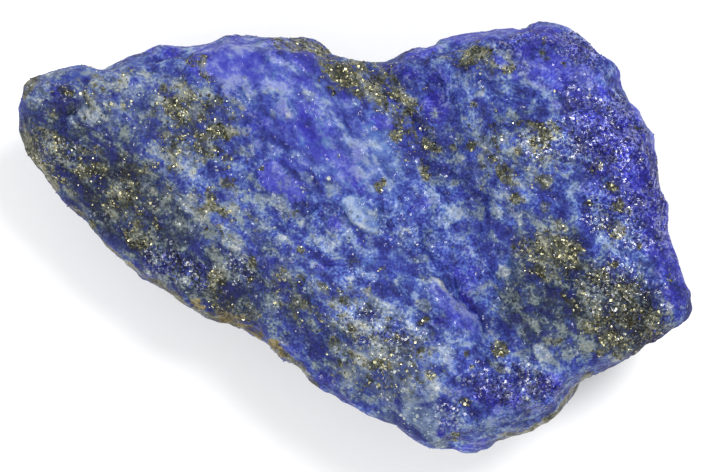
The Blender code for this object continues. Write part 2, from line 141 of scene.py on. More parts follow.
# Grey-white calcite, and the pale blue where it is mixed with the blue mineral
CALCITE_PLACES = (
    (-31.5, 17.0, 2.6, 0.7, 5, 0.8), (-34.0, 15.0, 1.5, 0.9, 90, 0.7),
    (-29.6, 11.7, 1.3, 0.8, -30, 0.7), (-27.9, 13.5, 1.5, 0.8, -70, 0.8),
    (-26.0, 16.2, 2.0, 0.8, 0, 0.6), (-22.8, 15.2, 2.0, 1.0, -10, 0.9),
    (-21.4, 14.3, 1.2, 0.8, 0, 0.7), (-19.2, 16.1, 1.7, 0.6, -10, 0.7),
    (-18.8, 17.6, 1.4, 0.8, 0, 0.6), (-20.8, 9.3, 1.3, 0.9, -20, 0.7),
    (-21.2, 11.2, 1.1, 1.0, 0, 0.6), (-18.6, 9.0, 1.9, 1.6, 0, 0.7),
    (-19.5, 7.2, 1.0, 0.7, -60, 0.7), (-16.9, 7.5, 1.5, 0.7, 10, 0.9),
    (-22.0, 5.3, 1.5, 0.8, 90, 0.6), (-17.8, 3.5, 1.6, 1.0, -50, 0.9),
    (-16.0, 5.5, 1.0, 0.8, 0, 0.6), (-13.2, 12.9, 1.0, 0.6, 0, 0.6),
    (-12.6, 4.0, 1.3, 1.2, 0, 0.7), (-12.7, -0.5, 1.7, 1.3, -10, 1.0),
    (-13.8, 0.9, 1.3, 0.6, 20, 0.7), (-9.2, 1.1, 1.3, 0.6, -35, 1.0),
    (-7.7, -0.5, 1.3, 0.6, -30, 1.0), (-8.3, 3.6, 1.7, 0.8, -20, 0.7),
    (-9.6, -1.4, 0.8, 0.5, 0, 0.6), (-11.3, 9.0, 1.2, 0.7, 30, 0.7),
    (-8.1, 12.9, 0.7, 0.6, 0, 0.7), (-7.0, 12.6, 0.6, 0.4, 90, 0.8),
    (-7.9, 11.3, 0.8, 0.5, 0, 0.6), (-10.8, 14.6, 0.9, 0.5, 30, 0.6),
    (-9.2, 15.4, 1.4, 0.6, 0, 0.6), (-11.8, 16.3, 1.0, 0.5, -20, 0.6),
    (-5.0, 14.6, 1.1, 0.8, -20, 0.5), (-3.3, 12.3, 1.2, 0.7, -50, 0.5),
    (-4.9, 6.3, 1.4, 0.7, 10, 0.7), (-2.5, 5.0, 1.5, 0.9, -60, 0.7),
    (-6.8, 2.2, 1.7, 0.7, 0, 0.7), (-5.4, 1.4, 1.2, 0.9, -30, 0.6),
    (-20.0, 1.7, 1.0, 0.5, 0, 0.6), (0.4, 11.1, 1.3, 0.7, -20, 0.5),
    (-2.0, 9.6, 0.9, 0.4, -10, 0.6), (3.8, 0.4, 0.6, 0.4, 0, 0.9),
    (5.2, 0.6, 0.8, 0.5, 0, 0.9), (8.2, -0.8, 0.7, 0.4, -60, 0.6),
    (14.0, 9.8, 1.5, 0.9, -10, 0.9), (15.5, 10.5, 1.5, 0.8, 20, 0.7),
    (14.0, 11.3, 1.2, 0.4, -20, 0.6), (13.0, 4.9, 1.1, 0.5, -45, 0.8),
    (14.9, 4.3, 1.4, 0.5, -10, 0.9), (15.6, 3.0, 1.8, 0.9, -45, 0.7),
    (16.9, 1.8, 1.1, 0.5, -50, 1.0), (12.5, 14.5, 1.2, 0.5, 20, 0.6),
    (14.2, 13.6, 1.0, 0.5, 0, 0.6), (6.7, -2.3, 1.4, 0.8, -10, 0.7),
    (7.4, -4.5, 1.0, 0.5, -30, 0.8), (9.0, -5.3, 1.6, 0.5, -40, 0.8),
    (0.2, -4.1, 1.5, 0.7, 10, 0.7), (4.4, -4.6, 0.8, 0.4, 0, 0.6),
    (3.0, -7.6, 2.0, 1.0, -20, 0.9), (1.5, -9.2, 2.4, 1.0, -15, 0.8),
    (7.0, -7.2, 1.2, 0.8, -40, 0.8), (-5.3, -5.7, 1.1, 0.6, 0, 0.9),
    (-1.5, -7.0, 1.5, 0.9, 0, 0.5), (1.1, -12.9, 1.5, 1.4, 0, 1.0),
    (-1.7, -12.4, 1.4, 0.8, -30, 0.9), (9.6, -12.2, 2.0, 1.3, -70, 0.6),
    (6.0, -12.6, 1.5, 1.0, 0, 0.8), (15.3, -13.7, 1.6, 0.6, -15, 0.9),
    (19.6, -12.3, 1.6, 0.9, -20, 1.1), (17.0, -9.5, 1.0, 0.6, -40, 0.7),
    (10.6, -14.8, 0.7, 0.4, 80, 0.9), (8.2, -15.9, 1.3, 1.2, 0, 0.8),
    (5.5, -15.6, 1.6, 1.0, 0, 0.7), (1.8, -15.0, 2.0, 1.0, 0, 0.6),
    (-1.2, -15.2, 1.0, 0.7, 0, 0.7), (6.6, -18.9, 2.6, 1.6, -25, 1.0),
    (8.2, -21.2, 1.8, 0.9, -20, 1.0), (17.8, -17.2, 1.2, 0.7, 0, 0.5),
    (21.5, -14.5, 1.2, 0.8, 0, 0.5), (27.3, -13.0, 1.8, 0.5, -25, 0.7),
    (-4.2, -9.0, 2.6, 1.0, -40, 0.5), (-7.4, -9.8, 1.8, 0.8, -45, 0.5),
    (21.5, 9.9, 1.3, 0.8, -20, 0.5), (-28.0, 2.6, 1.4, 0.6, -30, 0.7),
    # Wide zones where it is thinly mixed in
    (-23.5, 14.5, 8.0, 4.0, -5, 0.68), (-17.0, 5.0, 10.0, 5.0, -40, 0.47),
    (-17.4, 13.4, 5.4, 3.6, -15, 0.62),
    (-8.0, -4.0, 9.0, 5.0, -40, 0.48), (2.0, -10.0, 8.5, 5.5, -30, 0.62),
    (3.0, -13.5, 7.0, 3.6, -15, 0.76), (6.6, -18.2, 6.0, 3.4, -10, 0.60),
    (16.0, 8.0, 6.5, 5.0, 0, 0.54), (-3.0, 2.0, 8.0, 4.5, -45, 0.48),
    (14.0, -10.0, 8.0, 4.0, -20, 0.34), (-33.2, 15.2, 2.4, 1.7, -30, 0.66),
    (-27.4, 14.0, 2.0, 3.0, -20, 0.72), (9.9, 2.3, 1.4, 1.1, 0, 0.42), (15.4, -3.4, 1.4, 0.8, -60, 0.5),
)

# Deep violet-navy blue
DEEP_PLACES = (
    (27.8, 9.5, 4.2, 3.2, -65, 1.0), (30.3, 4.0, 4.2, 1.8, -80, 0.9),
    (24.0, 13.2, 3.8, 2.2, -20, 0.8), (20.0, 20.8, 3.6, 0.9, -10, 0.9),
    (23.0, 19.8, 2.0, 1.0, -40, 0.8), (17.5, 19.3, 1.8, 1.2, 0, 0.8),
    (3.4, 17.5, 1.4, 0.6, -10, 1.0), (5.6, 17.0, 1.8, 0.8, -30, 0.8),
    (8.2, 13.2, 2.2, 1.8, -70, 1.0), (8.6, 16.6, 1.4, 1.2, 0, 0.6),
    (13.5, 16.6, 2.0, 1.0, 0, 0.6), (11.5, -4.0, 2.6, 1.6, -30, 0.7),
    (12.0, -7.0, 2.0, 0.8, -55, 1.0), (14.8, -16.5, 3.6, 1.6, -15, 0.9),
    (20.4, -15.6, 1.5, 1.3, 0, 0.9), (33.0, -6.3, 1.8, 1.5, 90, 0.8),
    (-5.3, 18.3, 2.0, 1.2, -50, 0.7), (-10.5, 12.2, 2.4, 1.8, -30, 0.6),
    (-12.9, 14.8, 1.6, 1.0, 0, 0.6), (0.3, 5.2, 1.3, 1.0, -40, 0.9),
    (-0.5, 8.2, 1.7, 1.4, 0, 0.6), (-2.3, 10.9, 1.6, 0.6, -30, 0.6),
    (-4.3, 8.5, 1.8, 1.5, 0, 0.5), (-2.4, 1.6, 1.3, 1.2, 0, 0.7),
    (-3.0, -2.9, 1.1, 0.9, 0, 0.7), (-11.4, -2.6, 1.4, 1.2, 0, 0.8),
    (-8.6, -2.8, 1.6, 0.8, -20, 0.6), (-18.2, -2.6, 3.6, 1.1, -20, 0.9),
    (-21.0, -3.2, 1.8, 0.8, -30, 0.8), (-26.5, 10.6, 2.4, 1.0, 10, 0.7),
    (-21.3, 12.8, 0.9, 0.7, 0, 0.8), (-24.4, 9.0, 2.0, 1.2, 0, 0.7),
    (-13.2, -6.6, 1.3, 1.0, 0, 0.9), (-20.5, 4.7, 1.4, 1.4, 0, 0.6),
    (-19.3, 2.6, 1.8, 0.8, 0, 0.7), (2.4, -5.0, 1.4, 0.8, 0, 0.6),
    (9.0, -9.0, 1.3, 1.0, 0, 0.8), (4.3, -17.4, 1.7, 0.8, -20, 0.8),
    (7.0, -17.3, 0.8, 0.5, 0, 0.8), (9.0, -20.3, 0.6, 0.5, 0, 1.0),
    (7.2, -20.2, 0.4, 0.3, 0, 0.8), (9.6, -19.2, 1.4, 0.9, -30, 0.7),
    (1.0, -14.9, 0.6, 0.4, 0, 0.9), (-3.0, -14.8, 1.3, 0.8, -30, 0.8),
    (-26.0, -0.3, 1.6, 1.0, -30, 0.7), (-29.3, 5.0, 2.2, 1.0, -10, 0.6),
    (16.5, -15.0, 1.6, 0.9, -20, 0.7), (17.6, -8.6, 1.0, 0.7, -40, 0.8),
    (-7.0, -11.6, 1.4, 0.7, -40, 0.7), (23.0, -6.8, 1.2, 1.0, 0, 0.6),
    (26.0, -7.0, 1.2, 0.8, 0, 0.7), (29.4, -10.8, 1.0, 0.7, 0, 0.8),
    # Wide zones where it is thinly mixed in
    (27.6, 8.0, 8.0, 5.0, -65, 0.72), (20.0, 19.0, 9.0, 3.0, -5, 0.42),
    (8.0, 14.0, 5.0, 4.0, -70, 0.34), (13.0, -5.0, 7.0, 6.0, -40, 0.32),
    (15.0, -16.0, 7.0, 3.5, -10, 0.42), (-10.0, 12.0, 6.0, 4.5, -40, 0.34),
    (-25.0, 9.0, 8.0, 5.0, -10, 0.26), (-20.0, -1.0, 8.0, 3.5, -25, 0.34),
    (31.6, 1.0, 7.0, 2.4, -78, 0.80), (-30.2, 13.9, 2.4, 1.7, -40, 1.0),
)

# Clear light blue
AZURE_PLACES = (
    (3.0, 9.0, 3.6, 1.6, -60, 0.8), (1.0, 12.5, 2.4, 1.3, 0, 0.5),
    (-8.5, 17.4, 2.2, 1.5, -30, 0.5), (-11.0, 19.3, 3.0, 1.2, 0, 0.4),
    (6.5, 4.6, 2.2, 1.0, -20, 0.5), (10.1, 2.4, 1.6, 1.3, 0, 1.0),
    (12.9, -9.9, 1.8, 0.7, -50, 0.6), (10.2, -6.0, 1.6, 0.9, -50, 0.5),
    (16.2, -3.6, 1.6, 0.9, -70, 1.0), (13.0, -1.4, 1.8, 1.2, 0, 0.6),
    (14.6, -7.2, 2.2, 1.2, -60, 0.7), (0.5, -5.0, 1.8, 1.0, 10, 0.6),
    (1.0, -7.2, 1.8, 0.9, -10, 0.8), (-2.0, -7.6, 1.4, 0.8, 0, 0.6),
    (-24.6, 14.2, 1.8, 1.2, 0, 0.5), (-16.5, 9.2, 1.4, 1.2, 0, 0.7),
    (-16.6, 10.8, 1.4, 1.0, 0, 0.4), (9.5, 4.6, 1.5, 0.7, 20, 0.6),
    (17.0, 15.6, 2.6, 0.8, 10, 0.3), (19.5, 16.4, 2.4, 0.9, 10, 0.4),
    (25.8, 6.1, 0.9, 0.4, 0, 0.8), (23.6, 8.2, 1.1, 0.7, -20, 0.7),
    (29.0, -2.6, 2.0, 1.2, 0, 0.6), (25.0, -8.2, 1.2, 0.7, 0, 0.5),
    (23.8, -12.6, 0.9, 0.6, 0, 0.7), (18.6, -6.8, 1.6, 0.9, -40, 0.5),
    (-12.2, 17.0, 1.6, 0.8, -40, 0.3), (11.4, 13.0, 2.0, 1.0, -30, 0.4),
    (15.3, 2.4, 2.0, 1.0, -45, 0.8), (9.0, 7.6, 1.6, 1.0, 0, 0.4),
    (-10.5, 5.6, 1.2, 0.7, -30, 0.6), (-9.0, 14.2, 3.0, 1.0, -45, 0.3),
    # Wide zones where it is thinly mixed in
    (0.0, 7.0, 11.0, 5.5, -45, 0.52), (10.0, -3.0, 10.0, 5.0, -45, 0.48),
    (-10.0, 16.0, 7.0, 4.0, -30, 0.38), (-18.0, 9.0, 6.0, 4.0, 0, 0.30),
    (0.0, -8.0, 8.0, 5.0, -20, 0.36), (18.0, -8.0, 8.0, 5.0, -30, 0.34),
    (20.0, 12.0, 7.0, 4.0, 0, 0.26), (-2.0, 0.0, 7.0, 4.0, -45, 0.46),
)

# Smooth violet-blue, in clean fields and along the weathered margins
VIOLET_PLACES = (
    (-13.0, 18.2, 4.8, 2.8, -10, 1.0), (-7.8, 5.6, 3.0, 1.5, -42, 1.2),
    (-5.0, 13.2, 1.8, 1.4, -40, 0.8), (-3.0, 8.8, 6.0, 1.6, -42, 0.9),
    (2.6, 11.9, 1.4, 0.9, -20, 0.8), (-3.4, 11.6, 2.4, 0.7, -35, 0.7),
    (-9.0, 10.0, 3.6, 1.8, -40, 0.3), (6.6, 3.4, 1.8, 0.9, 0, 0.6),
    (12.0, 21.0, 3.4, 0.9, 10, 1.0), (18.0, 21.9, 4.0, 0.7, 0, 1.0),
    (7.0, 19.2, 2.6, 0.7, 15, 0.8), (21.6, 16.9, 2.6, 0.8, -10, 0.8),
    (27.6, 16.4, 1.2, 0.9, -60, 0.8), (29.3, 13.0, 1.6, 0.8, -60, 0.8),
    (31.4, 8.4, 2.6, 0.6, -80, 0.6), (33.6, -3.4, 2.6, 0.7, -65, 0.8),
    (-19.8, 19.3, 2.4, 0.7, 5, 0.8), (-26.6, 11.0, 2.4, 1.0, 0, 0.4),
    (1.0, -0.2, 1.6, 0.8, 0, 0.5), (-13.5, 15.6, 2.2, 1.0, 0, 0.5),
    (23.4, 5.4, 2.4, 1.4, -10, 0.5), (7.8, 2.0, 2.6, 1.2, 10, 0.4),
    (8.6, -2.6, 1.6, 0.8, 0, 0.5), (10.4, -7.6, 5.0, 1.2, -46, 0.72),
    (12.0, -22.0, 2.6, 0.7, 15, 0.8), (-6.0, -1.0, 3.2, 1.2, -20, 0.3),
    # Wide zones where it is thinly mixed in
    (-9.0, 18.0, 8.0, 3.5, -5, 0.60), (-3.0, 10.0, 10.0, 6.0, -45, 0.48),
    (8.0, 1.0, 9.0, 5.0, -45, 0.34), (20.0, 20.0, 8.0, 3.0, 0, 0.50),
    (21.0, 16.6, 7.0, 2.2, -14, 0.70), (32.6, 4.0, 8.0, 1.6, -80, 0.50),
)

# Dark slate, where fine dark grains cloud the blue
SLATE_PLACES = (
    (-31.2, 9.4, 2.8, 2.0, -20, 0.9), (-29.8, 14.0, 1.6, 1.1, -10, 0.5),
    (-33.4, 12.2, 1.6, 0.9, 0, 0.8), (-27.6, 7.8, 3.2, 1.3, 0, 0.7),
    (-25.0, 4.8, 3.0, 1.8, -20, 0.6), (-26.4, 2.6, 2.2, 1.2, -30, 0.7),
    (-20.6, -3.2, 3.2, 1.1, -20, 0.8), (-15.6, 13.4, 1.4, 0.8, 0, 0.7),
    (-24.0, 11.6, 2.6, 1.2, -10, 0.3), (-22.6, 17.2, 2.4, 0.5, 0, 0.6),
    (-14.6, 9.2, 1.6, 1.2, 0, 0.4), (-8.8, -6.6, 4.6, 1.8, -20, 0.6),
    (-6.4, -8.6, 3.2, 1.4, -30, 0.5), (11.4, 5.6, 1.8, 1.0, -20, 0.6),
    (10.8, 17.6, 1.6, 0.8, -20, 0.6), (3.0, -11.6, 1.6, 1.0, 0, 0.7),
    (3.4, -15.2, 2.4, 1.2, 0, 0.4), (22.4, -8.6, 3.4, 2.2, -20, 0.6),
    (18.6, -5.6, 1.8, 1.0, 0, 0.5), (29.0, -9.4, 2.6, 1.4, -30, 0.6),
    (14.4, -1.6, 1.2, 0.6, -60, 0.3), (18.4, 5.0, 2.4, 1.6, -30, 0.3),
    (9.6, 10.6, 2.0, 1.0, 0, 0.4), (-17.0, -4.6, 3.4, 1.0, -20, 0.7),
    (-11.0, -7.4, 2.0, 1.0, -20, 0.6), (26.5, 7.8, 2.2, 0.7, -10, 0.5),
    # Wide zones where they are thinly mixed in
    (-29.0, 9.0, 9.0, 7.0, -20, 0.76), (-23.0, 3.0, 11.0, 6.0, -35, 0.84),
    (-18.0, 12.0, 8.0, 6.0, 0, 0.54), (-8.0, -7.0, 9.0, 4.4, -35, 0.60),
    (1.0, 17.0, 7.0, 3.0, -20, 0.46), (16.0, 9.0, 8.0, 6.0, 0, 0.42),
    (21.0, -7.0, 9.0, 7.0, -20, 0.76), (27.0, -8.0, 7.0, 5.4, -20, 0.90),
    (20.0, -1.0, 5.0, 4.0, -20, 0.64), (-15.0, -4.4, 10.0, 4.4, -24, 0.78),
    (0.0, -13.0, 9.0, 4.4, -30, 0.58), (9.0, 10.0, 5.0, 4.0, -70, 0.46),
    (14.0, 18.0, 5.0, 3.0, 0, 0.46), (-10.0, 2.0, 8.0, 5.0, -40, 0.42),
    (15.0, 2.0, 5.0, 4.0, -40, 0.44), (-28.0, 14.6, 7.0, 3.0, -10, 0.46),
    (6.0, -18.8, 5.0, 3.0, -10, 0.50),
)

# Rusty stain of iron, on the weathered rind of the lower left edge
RUST_PLACES = (
    (-16.4, -7.2, 1.6, 0.7, -25, 0.9), (-12.9, -8.7, 2.6, 0.8, -20, 0.9),
    (-10.4, -10.0, 1.6, 0.8, -35, 1.0), (-8.6, -11.3, 1.2, 0.6, -45, 1.0),
    (-7.8, -12.2, 0.8, 0.5, -40, 1.0), (22.0, -1.2, 1.4, 0.8, -30, 0.4),
    (29.6, -1.3, 0.6, 0.5, 0, 0.6), (-33.2, 12.9, 0.5, 0.2, -60, 0.3),
    (19.2, -2.4, 1.0, 0.5, 0, 0.3), (30.6, -11.4, 1.6, 0.3, 35, 0.3),
)

# The weathered grey rind, as paths along the stone's edges, and half its width in mm
RIND_PATHS = (
    ((-29.6, 2.2), (-26.6, -1.4), (-23.2, -3.9), (-20.0, -5.9), (-16.4, -8.2), (-12.3, -9.9),
     (-9.6, -11.2), (-6.6, -13.5), (-4.6, -15.3)),
    ((24.4, -14.8), (22.9, -16.6), (21.3, -18.9), (18.2, -20.7), (15.4, -21.2)),
    ((-34.6, 10.4), (-33.4, 7.6), (-31.6, 5.2)),
    ((-34.8, 14.8), (-33.7, 16.5)),
)
RIND_WIDTH = 0.85

# Sugary zones, where many small faces of the grains catch the light
SUGAR_PLACES = (
    (26.0, 10.6, 5.6, 4.2, -50, 1.0), (23.4, 19.6, 3.0, 1.8, -30, 0.8),
    (27.6, 2.2, 4.6, 3.4, -50, 0.7), (4.6, 0.4, 5.0, 2.0, -30, 0.3),
    (16.4, -15.4, 5.0, 2.6, -10, 0.8), (-18.6, -3.4, 4.6, 1.8, -25, 0.7),
    (-12.6, -3.4, 2.2, 1.8, 0, 0.5), (28.0, -6.6, 6.0, 4.0, -30, 0.5),
    (-31.0, 8.8, 2.6, 1.6, -30, 0.5), (3.0, -10.0, 5.0, 2.8, -30, 0.5),
    (20.0, 9.6, 3.6, 2.2, 0, 0.6), (16.6, 20.4, 2.6, 0.8, 10, 0.6),
    (9.6, -18.6, 2.2, 1.6, 0, 0.6), (31.6, 3.4, 5.0, 1.2, -85, 0.6),
)

# Smooth zones of the face: the polished violet crown and lens, and the rounded margins
CALM_PLACES = (
    (-12.6, 18.4, 5.0, 3.0, -10, 1.0), (-7.8, 5.7, 2.6, 1.4, -42, 0.5),
    (0.6, 10.4, 5.6, 3.0, -50, 0.8), (-5.4, 12.6, 3.4, 2.2, -40, 0.7),
    (0.6, 2.2, 2.4, 1.6, -45, 0.9), (12.4, -8.8, 2.8, 1.1, -50, 0.6),
    (14.0, 21.2, 9.0, 0.9, 5, 0.8), (-27.0, 17.4, 8.0, 0.9, 10, 0.8),
    (-3.0, 11.0, 11.0, 6.5, -42, 0.75), (6.0, -18.5, 4.4, 3.0, -10, 0.7),
    (3.0, -13.5, 5.0, 3.0, 0, 0.8), (10.4, -7.6, 5.0, 1.4, -46, 0.5),
    (-18.0, 11.0, 6.0, 5.0, 0, 0.3), (3.0, 0.0, 9.0, 4.0, -45, 0.3),
)

# Lumps and ridges that are paler than their mineral: partly paler rock, partly painted light on their
# raised tops
PALE_AND_PAINTED_LIGHT_PLACES = (
    (10.6, -7.4, 4.8, 0.7, -46, 0.9), (9.9, 2.3, 1.2, 1.0, 0, 0.8), (14.9, 2.4, 1.5, 0.7, -45, 0.8),
    (0.4, 16.6, 3.0, 1.2, -35, 0.5), (17.4, 9.6, 3.0, 1.6, -20, 0.5), (8.2, 12.6, 2.4, 1.6, -70, 0.4),
    (0.0, -8.4, 3.0, 1.4, -15, 0.5),
    (15.4, -3.4, 1.4, 0.8, -60, 0.9), (-7.7, -0.4, 1.8, 0.6, -35, 0.8),
    (19.6, -12.3, 1.5, 0.8, -20, 0.9), (-12.7, 19.6, 4.0, 0.8, 5, 0.6),
    (0.6, 8.6, 6.0, 0.9, -48, 0.7), (-28.4, 12.8, 2.4, 0.6, -55, 0.8),
    (-9.0, 15.6, 3.0, 0.7, -40, 0.5), (4.6, -7.6, 1.8, 0.8, -15, 0.6),
    (1.2, -13.0, 1.6, 1.3, 0, 0.7), (-12.8, -0.5, 1.6, 1.2, 0, 0.7),
    (-18.2, 13.8, 3.6, 2.2, 0, 0.7), (-16.6, 7.0, 2.2, 1.4, -60, 0.7),
)

# Creases and hollows that are darker than their mineral: painted shade where shade falls in them, and a
# few wider patches of darker rock
PAINTED_SHADE_PLACES = (
    (-30.2, 13.9, 1.9, 1.2, -40, 0.8), (13.1, -8.3, 3.8, 0.5, -52, 0.9),
    (6.4, -18.6, 4.0, 2.4, -10, 0.6), (-24.0, 5.0, 4.0, 2.0, -30, 0.4),
    (25.4, 7.0, 2.4, 0.5, -10, 1.0), (11.2, 18.2, 1.8, 0.9, -10, 0.9),
    (8.6, 15.4, 1.6, 1.0, -70, 0.4), (-3.5, -2.1, 3.2, 0.4, -32, 0.9),
    (-4.9, 3.7, 1.4, 0.4, -40, 0.9), (2.7, 2.3, 1.9, 0.35, -58, 0.8),
    (-16.0, 13.6, 1.4, 0.9, 0, 0.8), (-29.5, 6.0, 3.4, 0.8, -35, 0.7),
    (-20.0, -2.4, 4.0, 0.9, -25, 0.7), (-6.4, -8.8, 2.6, 0.8, -30, 0.6),
    (22.4, -6.4, 2.6, 0.7, -30, 0.7), (20.2, 9.0, 3.0, 0.5, -25, 0.6),
    (29.6, 6.6, 3.4, 0.5, -70, 0.6), (-7.8, 5.4, 2.8, 1.2, -42, 0.6), (27.6, -7.6, 6.0, 3.8, -25, 0.5),
)
FLAKE_TINT = 1.3

# The stone's outline from above, clockwise from the left tip, in millimetres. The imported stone's
# facets leave it by up to 1 mm, so the dressed rock is drawn to it, in steps of direction.
OUTLINE = (
    (-35.0, 12.2), (-35.1, 13.3), (-34.6, 15.7), (-33.6, 16.8), (-31.2, 17.3), (-28.0, 17.9),
    (-26.0, 17.6), (-23.9, 18.5), (-20.2, 20.0), (-18.8, 20.2), (-17.3, 19.8), (-14.9, 20.2),
    (-14.0, 20.9), (-12.9, 21.1), (-9.4, 20.9), (-5.1, 20.8), (-3.8, 20.4), (-2.9, 19.3),
    (-1.1, 18.7), (0.1, 18.2), (3.9, 18.4), (4.8, 19.3), (6.4, 19.8), (8.5, 20.0), (9.2, 20.7),
    (12.0, 21.2), (13.1, 21.1), (14.6, 21.9), (15.8, 21.5), (17.9, 22.2), (19.2, 22.6),
    (21.0, 22.2), (23.5, 21.1), (25.4, 19.1), (26.5, 18.4), (27.7, 17.2), (27.5, 15.8),
    (28.8, 14.1), (30.0, 12.1), (30.8, 11.0), (31.6, 7.8), (31.8, 5.1), (32.6, 3.2), (32.4, 1.1),
    (33.4, -2.0), (34.4, -4.5), (35.1, -6.4), (34.9, -8.0), (34.1, -8.9), (32.4, -10.1),
    (30.2, -11.2), (29.6, -12.1), (28.4, -12.9), (25.0, -14.3), (23.7, -15.3), (22.4, -17.3),
    (21.3, -18.6), (20.0, -19.5), (18.1, -20.5), (15.5, -21.0), (14.4, -21.9), (12.2, -22.7),
    (10.3, -22.1), (9.4, -22.5), (7.3, -21.9), (5.7, -20.7), (4.4, -19.8), (1.5, -18.8),
    (-1.7, -17.0), (-4.6, -15.1), (-5.9, -13.8), (-7.5, -12.7), (-9.2, -11.3), (-10.2, -10.7),
    (-12.3, -9.6), (-15.8, -8.4), (-18.5, -6.6), (-22.5, -4.2), (-23.7, -3.0), (-25.9, -1.1),
    (-27.7, 0.7), (-28.7, 2.3), (-30.6, 3.8), (-31.9, 5.5), (-33.1, 7.2), (-34.3, 8.7),
    (-35.1, 11.0))
FACE_MIDDLE = (0.0, 1.5)
OUTLINE_STEPS = 240
EDGE_STEPS = 40
MOST_STRETCH = 0.06
STRETCH_FROM = 0.72
RIM_FROM = 0.95
RIM_CALM = 0.45

# The pale flake that stands proud of the face, its outline in millimetres
FLAKE = ((-1.6, 3.8), (-0.6, 4.4), (0.6, 4.0), (1.2, 3.3), (2.0, 2.3), (2.6, 1.0), (2.2, 0.2),
         (1.2, 0.4), (0.1, 1.2), (-0.7, 1.9), (-1.3, 2.9))
FLAKE_RISE = 0.5
FLAKE_EDGE = 0.2
FLAKE_LEAN = 0.05
FLAKE_AZURE = 1.7
FLAKE_CALCITE = 0.62
FLAKE_CALM = 0.6

# Thin layers show where the stone is broken across them, low on the right and high on the right:
# the line they follow, how far to either side they reach and their spacing, in millimetres
BANDS = (
    (((9.0, -22.6), (12.4, -22.8), (15.0, -21.6), (18.4, -20.6), (21.4, -18.8), (23.8, -15.4)),
     1.9, 0.62),
    (((13.4, 17.9), (18.0, 18.0), (22.6, 16.6), (26.2, 14.2)), 2.3, 0.95),
)
BAND_WAVER = 0.55
BAND_FAINTEST = 0.1
BAND_DEPTH = 0.09

# How far lumps stand out and creases sink in, in millimetres, and how much deeper the small
# breaks are where the rock is sugary
LUMP_DEPTH = 0.3
SUGAR_HACKLE = 0.6

# Each mineral: its places on the face, and on the hidden sides the size of its patches in mm
# and the share of the rock that they take
MINERALS = (
    ("pyrite", PYRITE_PLACES, 3.4, 0.20),
    ("calcite", CALCITE_PLACES, 4.6, 0.32),
    ("deep", DEEP_PLACES, 5.2, 0.30),
    ("azure", AZURE_PLACES, 4.2, 0.20),
    ("violet", VIOLET_PLACES, 6.4, 0.16),
    ("slate", SLATE_PLACES, 5.4, 0.28),
    ("rust", RUST_PLACES, 5.0, 0.04),
    ("sugar", SUGAR_PLACES, 7.0, 0.35),
    ("calm", CALM_PLACES, 8.0, 0.1),
)
FIELD_NAMES = tuple(name for name, *_ in MINERALS) + ("rind", "tint_and_painted_light", "relief")
HIDDEN_EDGE = 0.25

# The face's places show on the surface that looks up by more than these parts of a normal
FACING_FROM = -0.25
FACING_TO = 0.12

# Colours of the blue body, from its dark to its light grains
BODY_TONES = (
    (0.12, "#1e2472"), (0.34, "#2f3a94"), (0.5, "#4152a8"), (0.66, "#5a73b8"), (0.88, "#94a8ca"))

# Each mineral's colours from dark to light, the noise that breaks up its edge and how far, and
# the strengths where it starts and where it is full
MINERAL_LAYERS = (
    ("violet", (
        (0.12, "#2e2ca8"), (0.4, "#454aba"), (0.6, "#5c66c6"), (0.88, "#929bd8")),
        "Blue", 2.0, 0.3, 0.8),
    ("deep", (
        (0.12, "#120f68"), (0.4, "#26249a"), (0.6, "#3e40b2"), (0.88, "#7880cc")),
        "Red", 2.6, 0.35, 0.85),
    ("azure", (
        (0.12, "#3450a4"), (0.4, "#506fba"), (0.6, "#6a86c6"), (0.88, "#a4b8dc")),
        "Blue", 2.2, 0.45, 0.95),
    ("slate", (
        (0.12, "#0e152a"), (0.4, "#1f2a40"), (0.6, "#3b485a"), (0.88, "#808b8c")),
        "Red", 1.7, 0.2, 0.95),
    ("calcite", (
        (0.12, "#506288"), (0.4, "#7688aa"), (0.6, "#92a0b4"), (0.88, "#c6cbce")),
        "Green", 2.1, 0.4, 1.05),
    ("rind", (
        (0.12, "#42423a"), (0.4, "#646458"), (0.6, "#828270"), (0.88, "#aaa898")),
        "Blue", 2.5, 0.5, 1.05),
    ("pyrite", (
        (0.12, "#1e201e"), (0.4, "#3c413c"), (0.6, "#5d625a"), (0.88, "#9d9e8f")),
        "Green", 2.6, 0.32, 0.95),
    ("rust", (
        (0.12, "#352c17"), (0.4, "#5a4e2b"), (0.6, "#7b6c43"), (0.88, "#a3966d")),
        "Red", 2.4, 0.55, 1.05),
)
BRASS = "#807d62"

# How far grain moves a mineral's edge, how far mottle moves that of pyrite's metal cells, and how
# far each noise moves the tone of a colour
EDGE_GRAIN = 1.6
METAL_MOTTLE = 2.6
TONE_CLOUDS = 0.9
TONE_MOTTLE = 1.9
TONE_GRAIN = 2.3
# The tint moves the tone by the layers and the flake, and by painted light on lumps and painted shade
# in creases
TONE_TINT_AND_PAINTED_LIGHT = 0.22

# How lively the broken surface is: in general, and more or less where it is sugary or calm
LIVELY = 0.5
LIVELY_SUGAR = 0.6
LIVELY_CALM = -0.38

# How far the relief, the flat grains and the finest grain swing the shade where it is lively; the
# relief's swing is painted shade in the hollows and painted light on the raised facets
PAINTED_RELIEF_SHADE = 0.75
SHADE_CELLS = 0.5
SHADE_GRAIN = 2.0
DARKEST = 0.2

# How much more the flat grains lean where they are metal, which of them are glassy (from -0.5 for
# all to 0.5 for none), how many more are where the rock is sugary, and how they shine
METAL_LEAN = 0.5
GLASS_FROM = 0.42
GLASS_SUGAR = 0.45
GLASS_IOR = 1.8
ROCK_SHINE = 0.18

# The patterns run along the rock's layers: turned by this much, and longer by this much
LAYER_TURN = math.radians(-42.0)
LAYER_STRETCH = 1.4

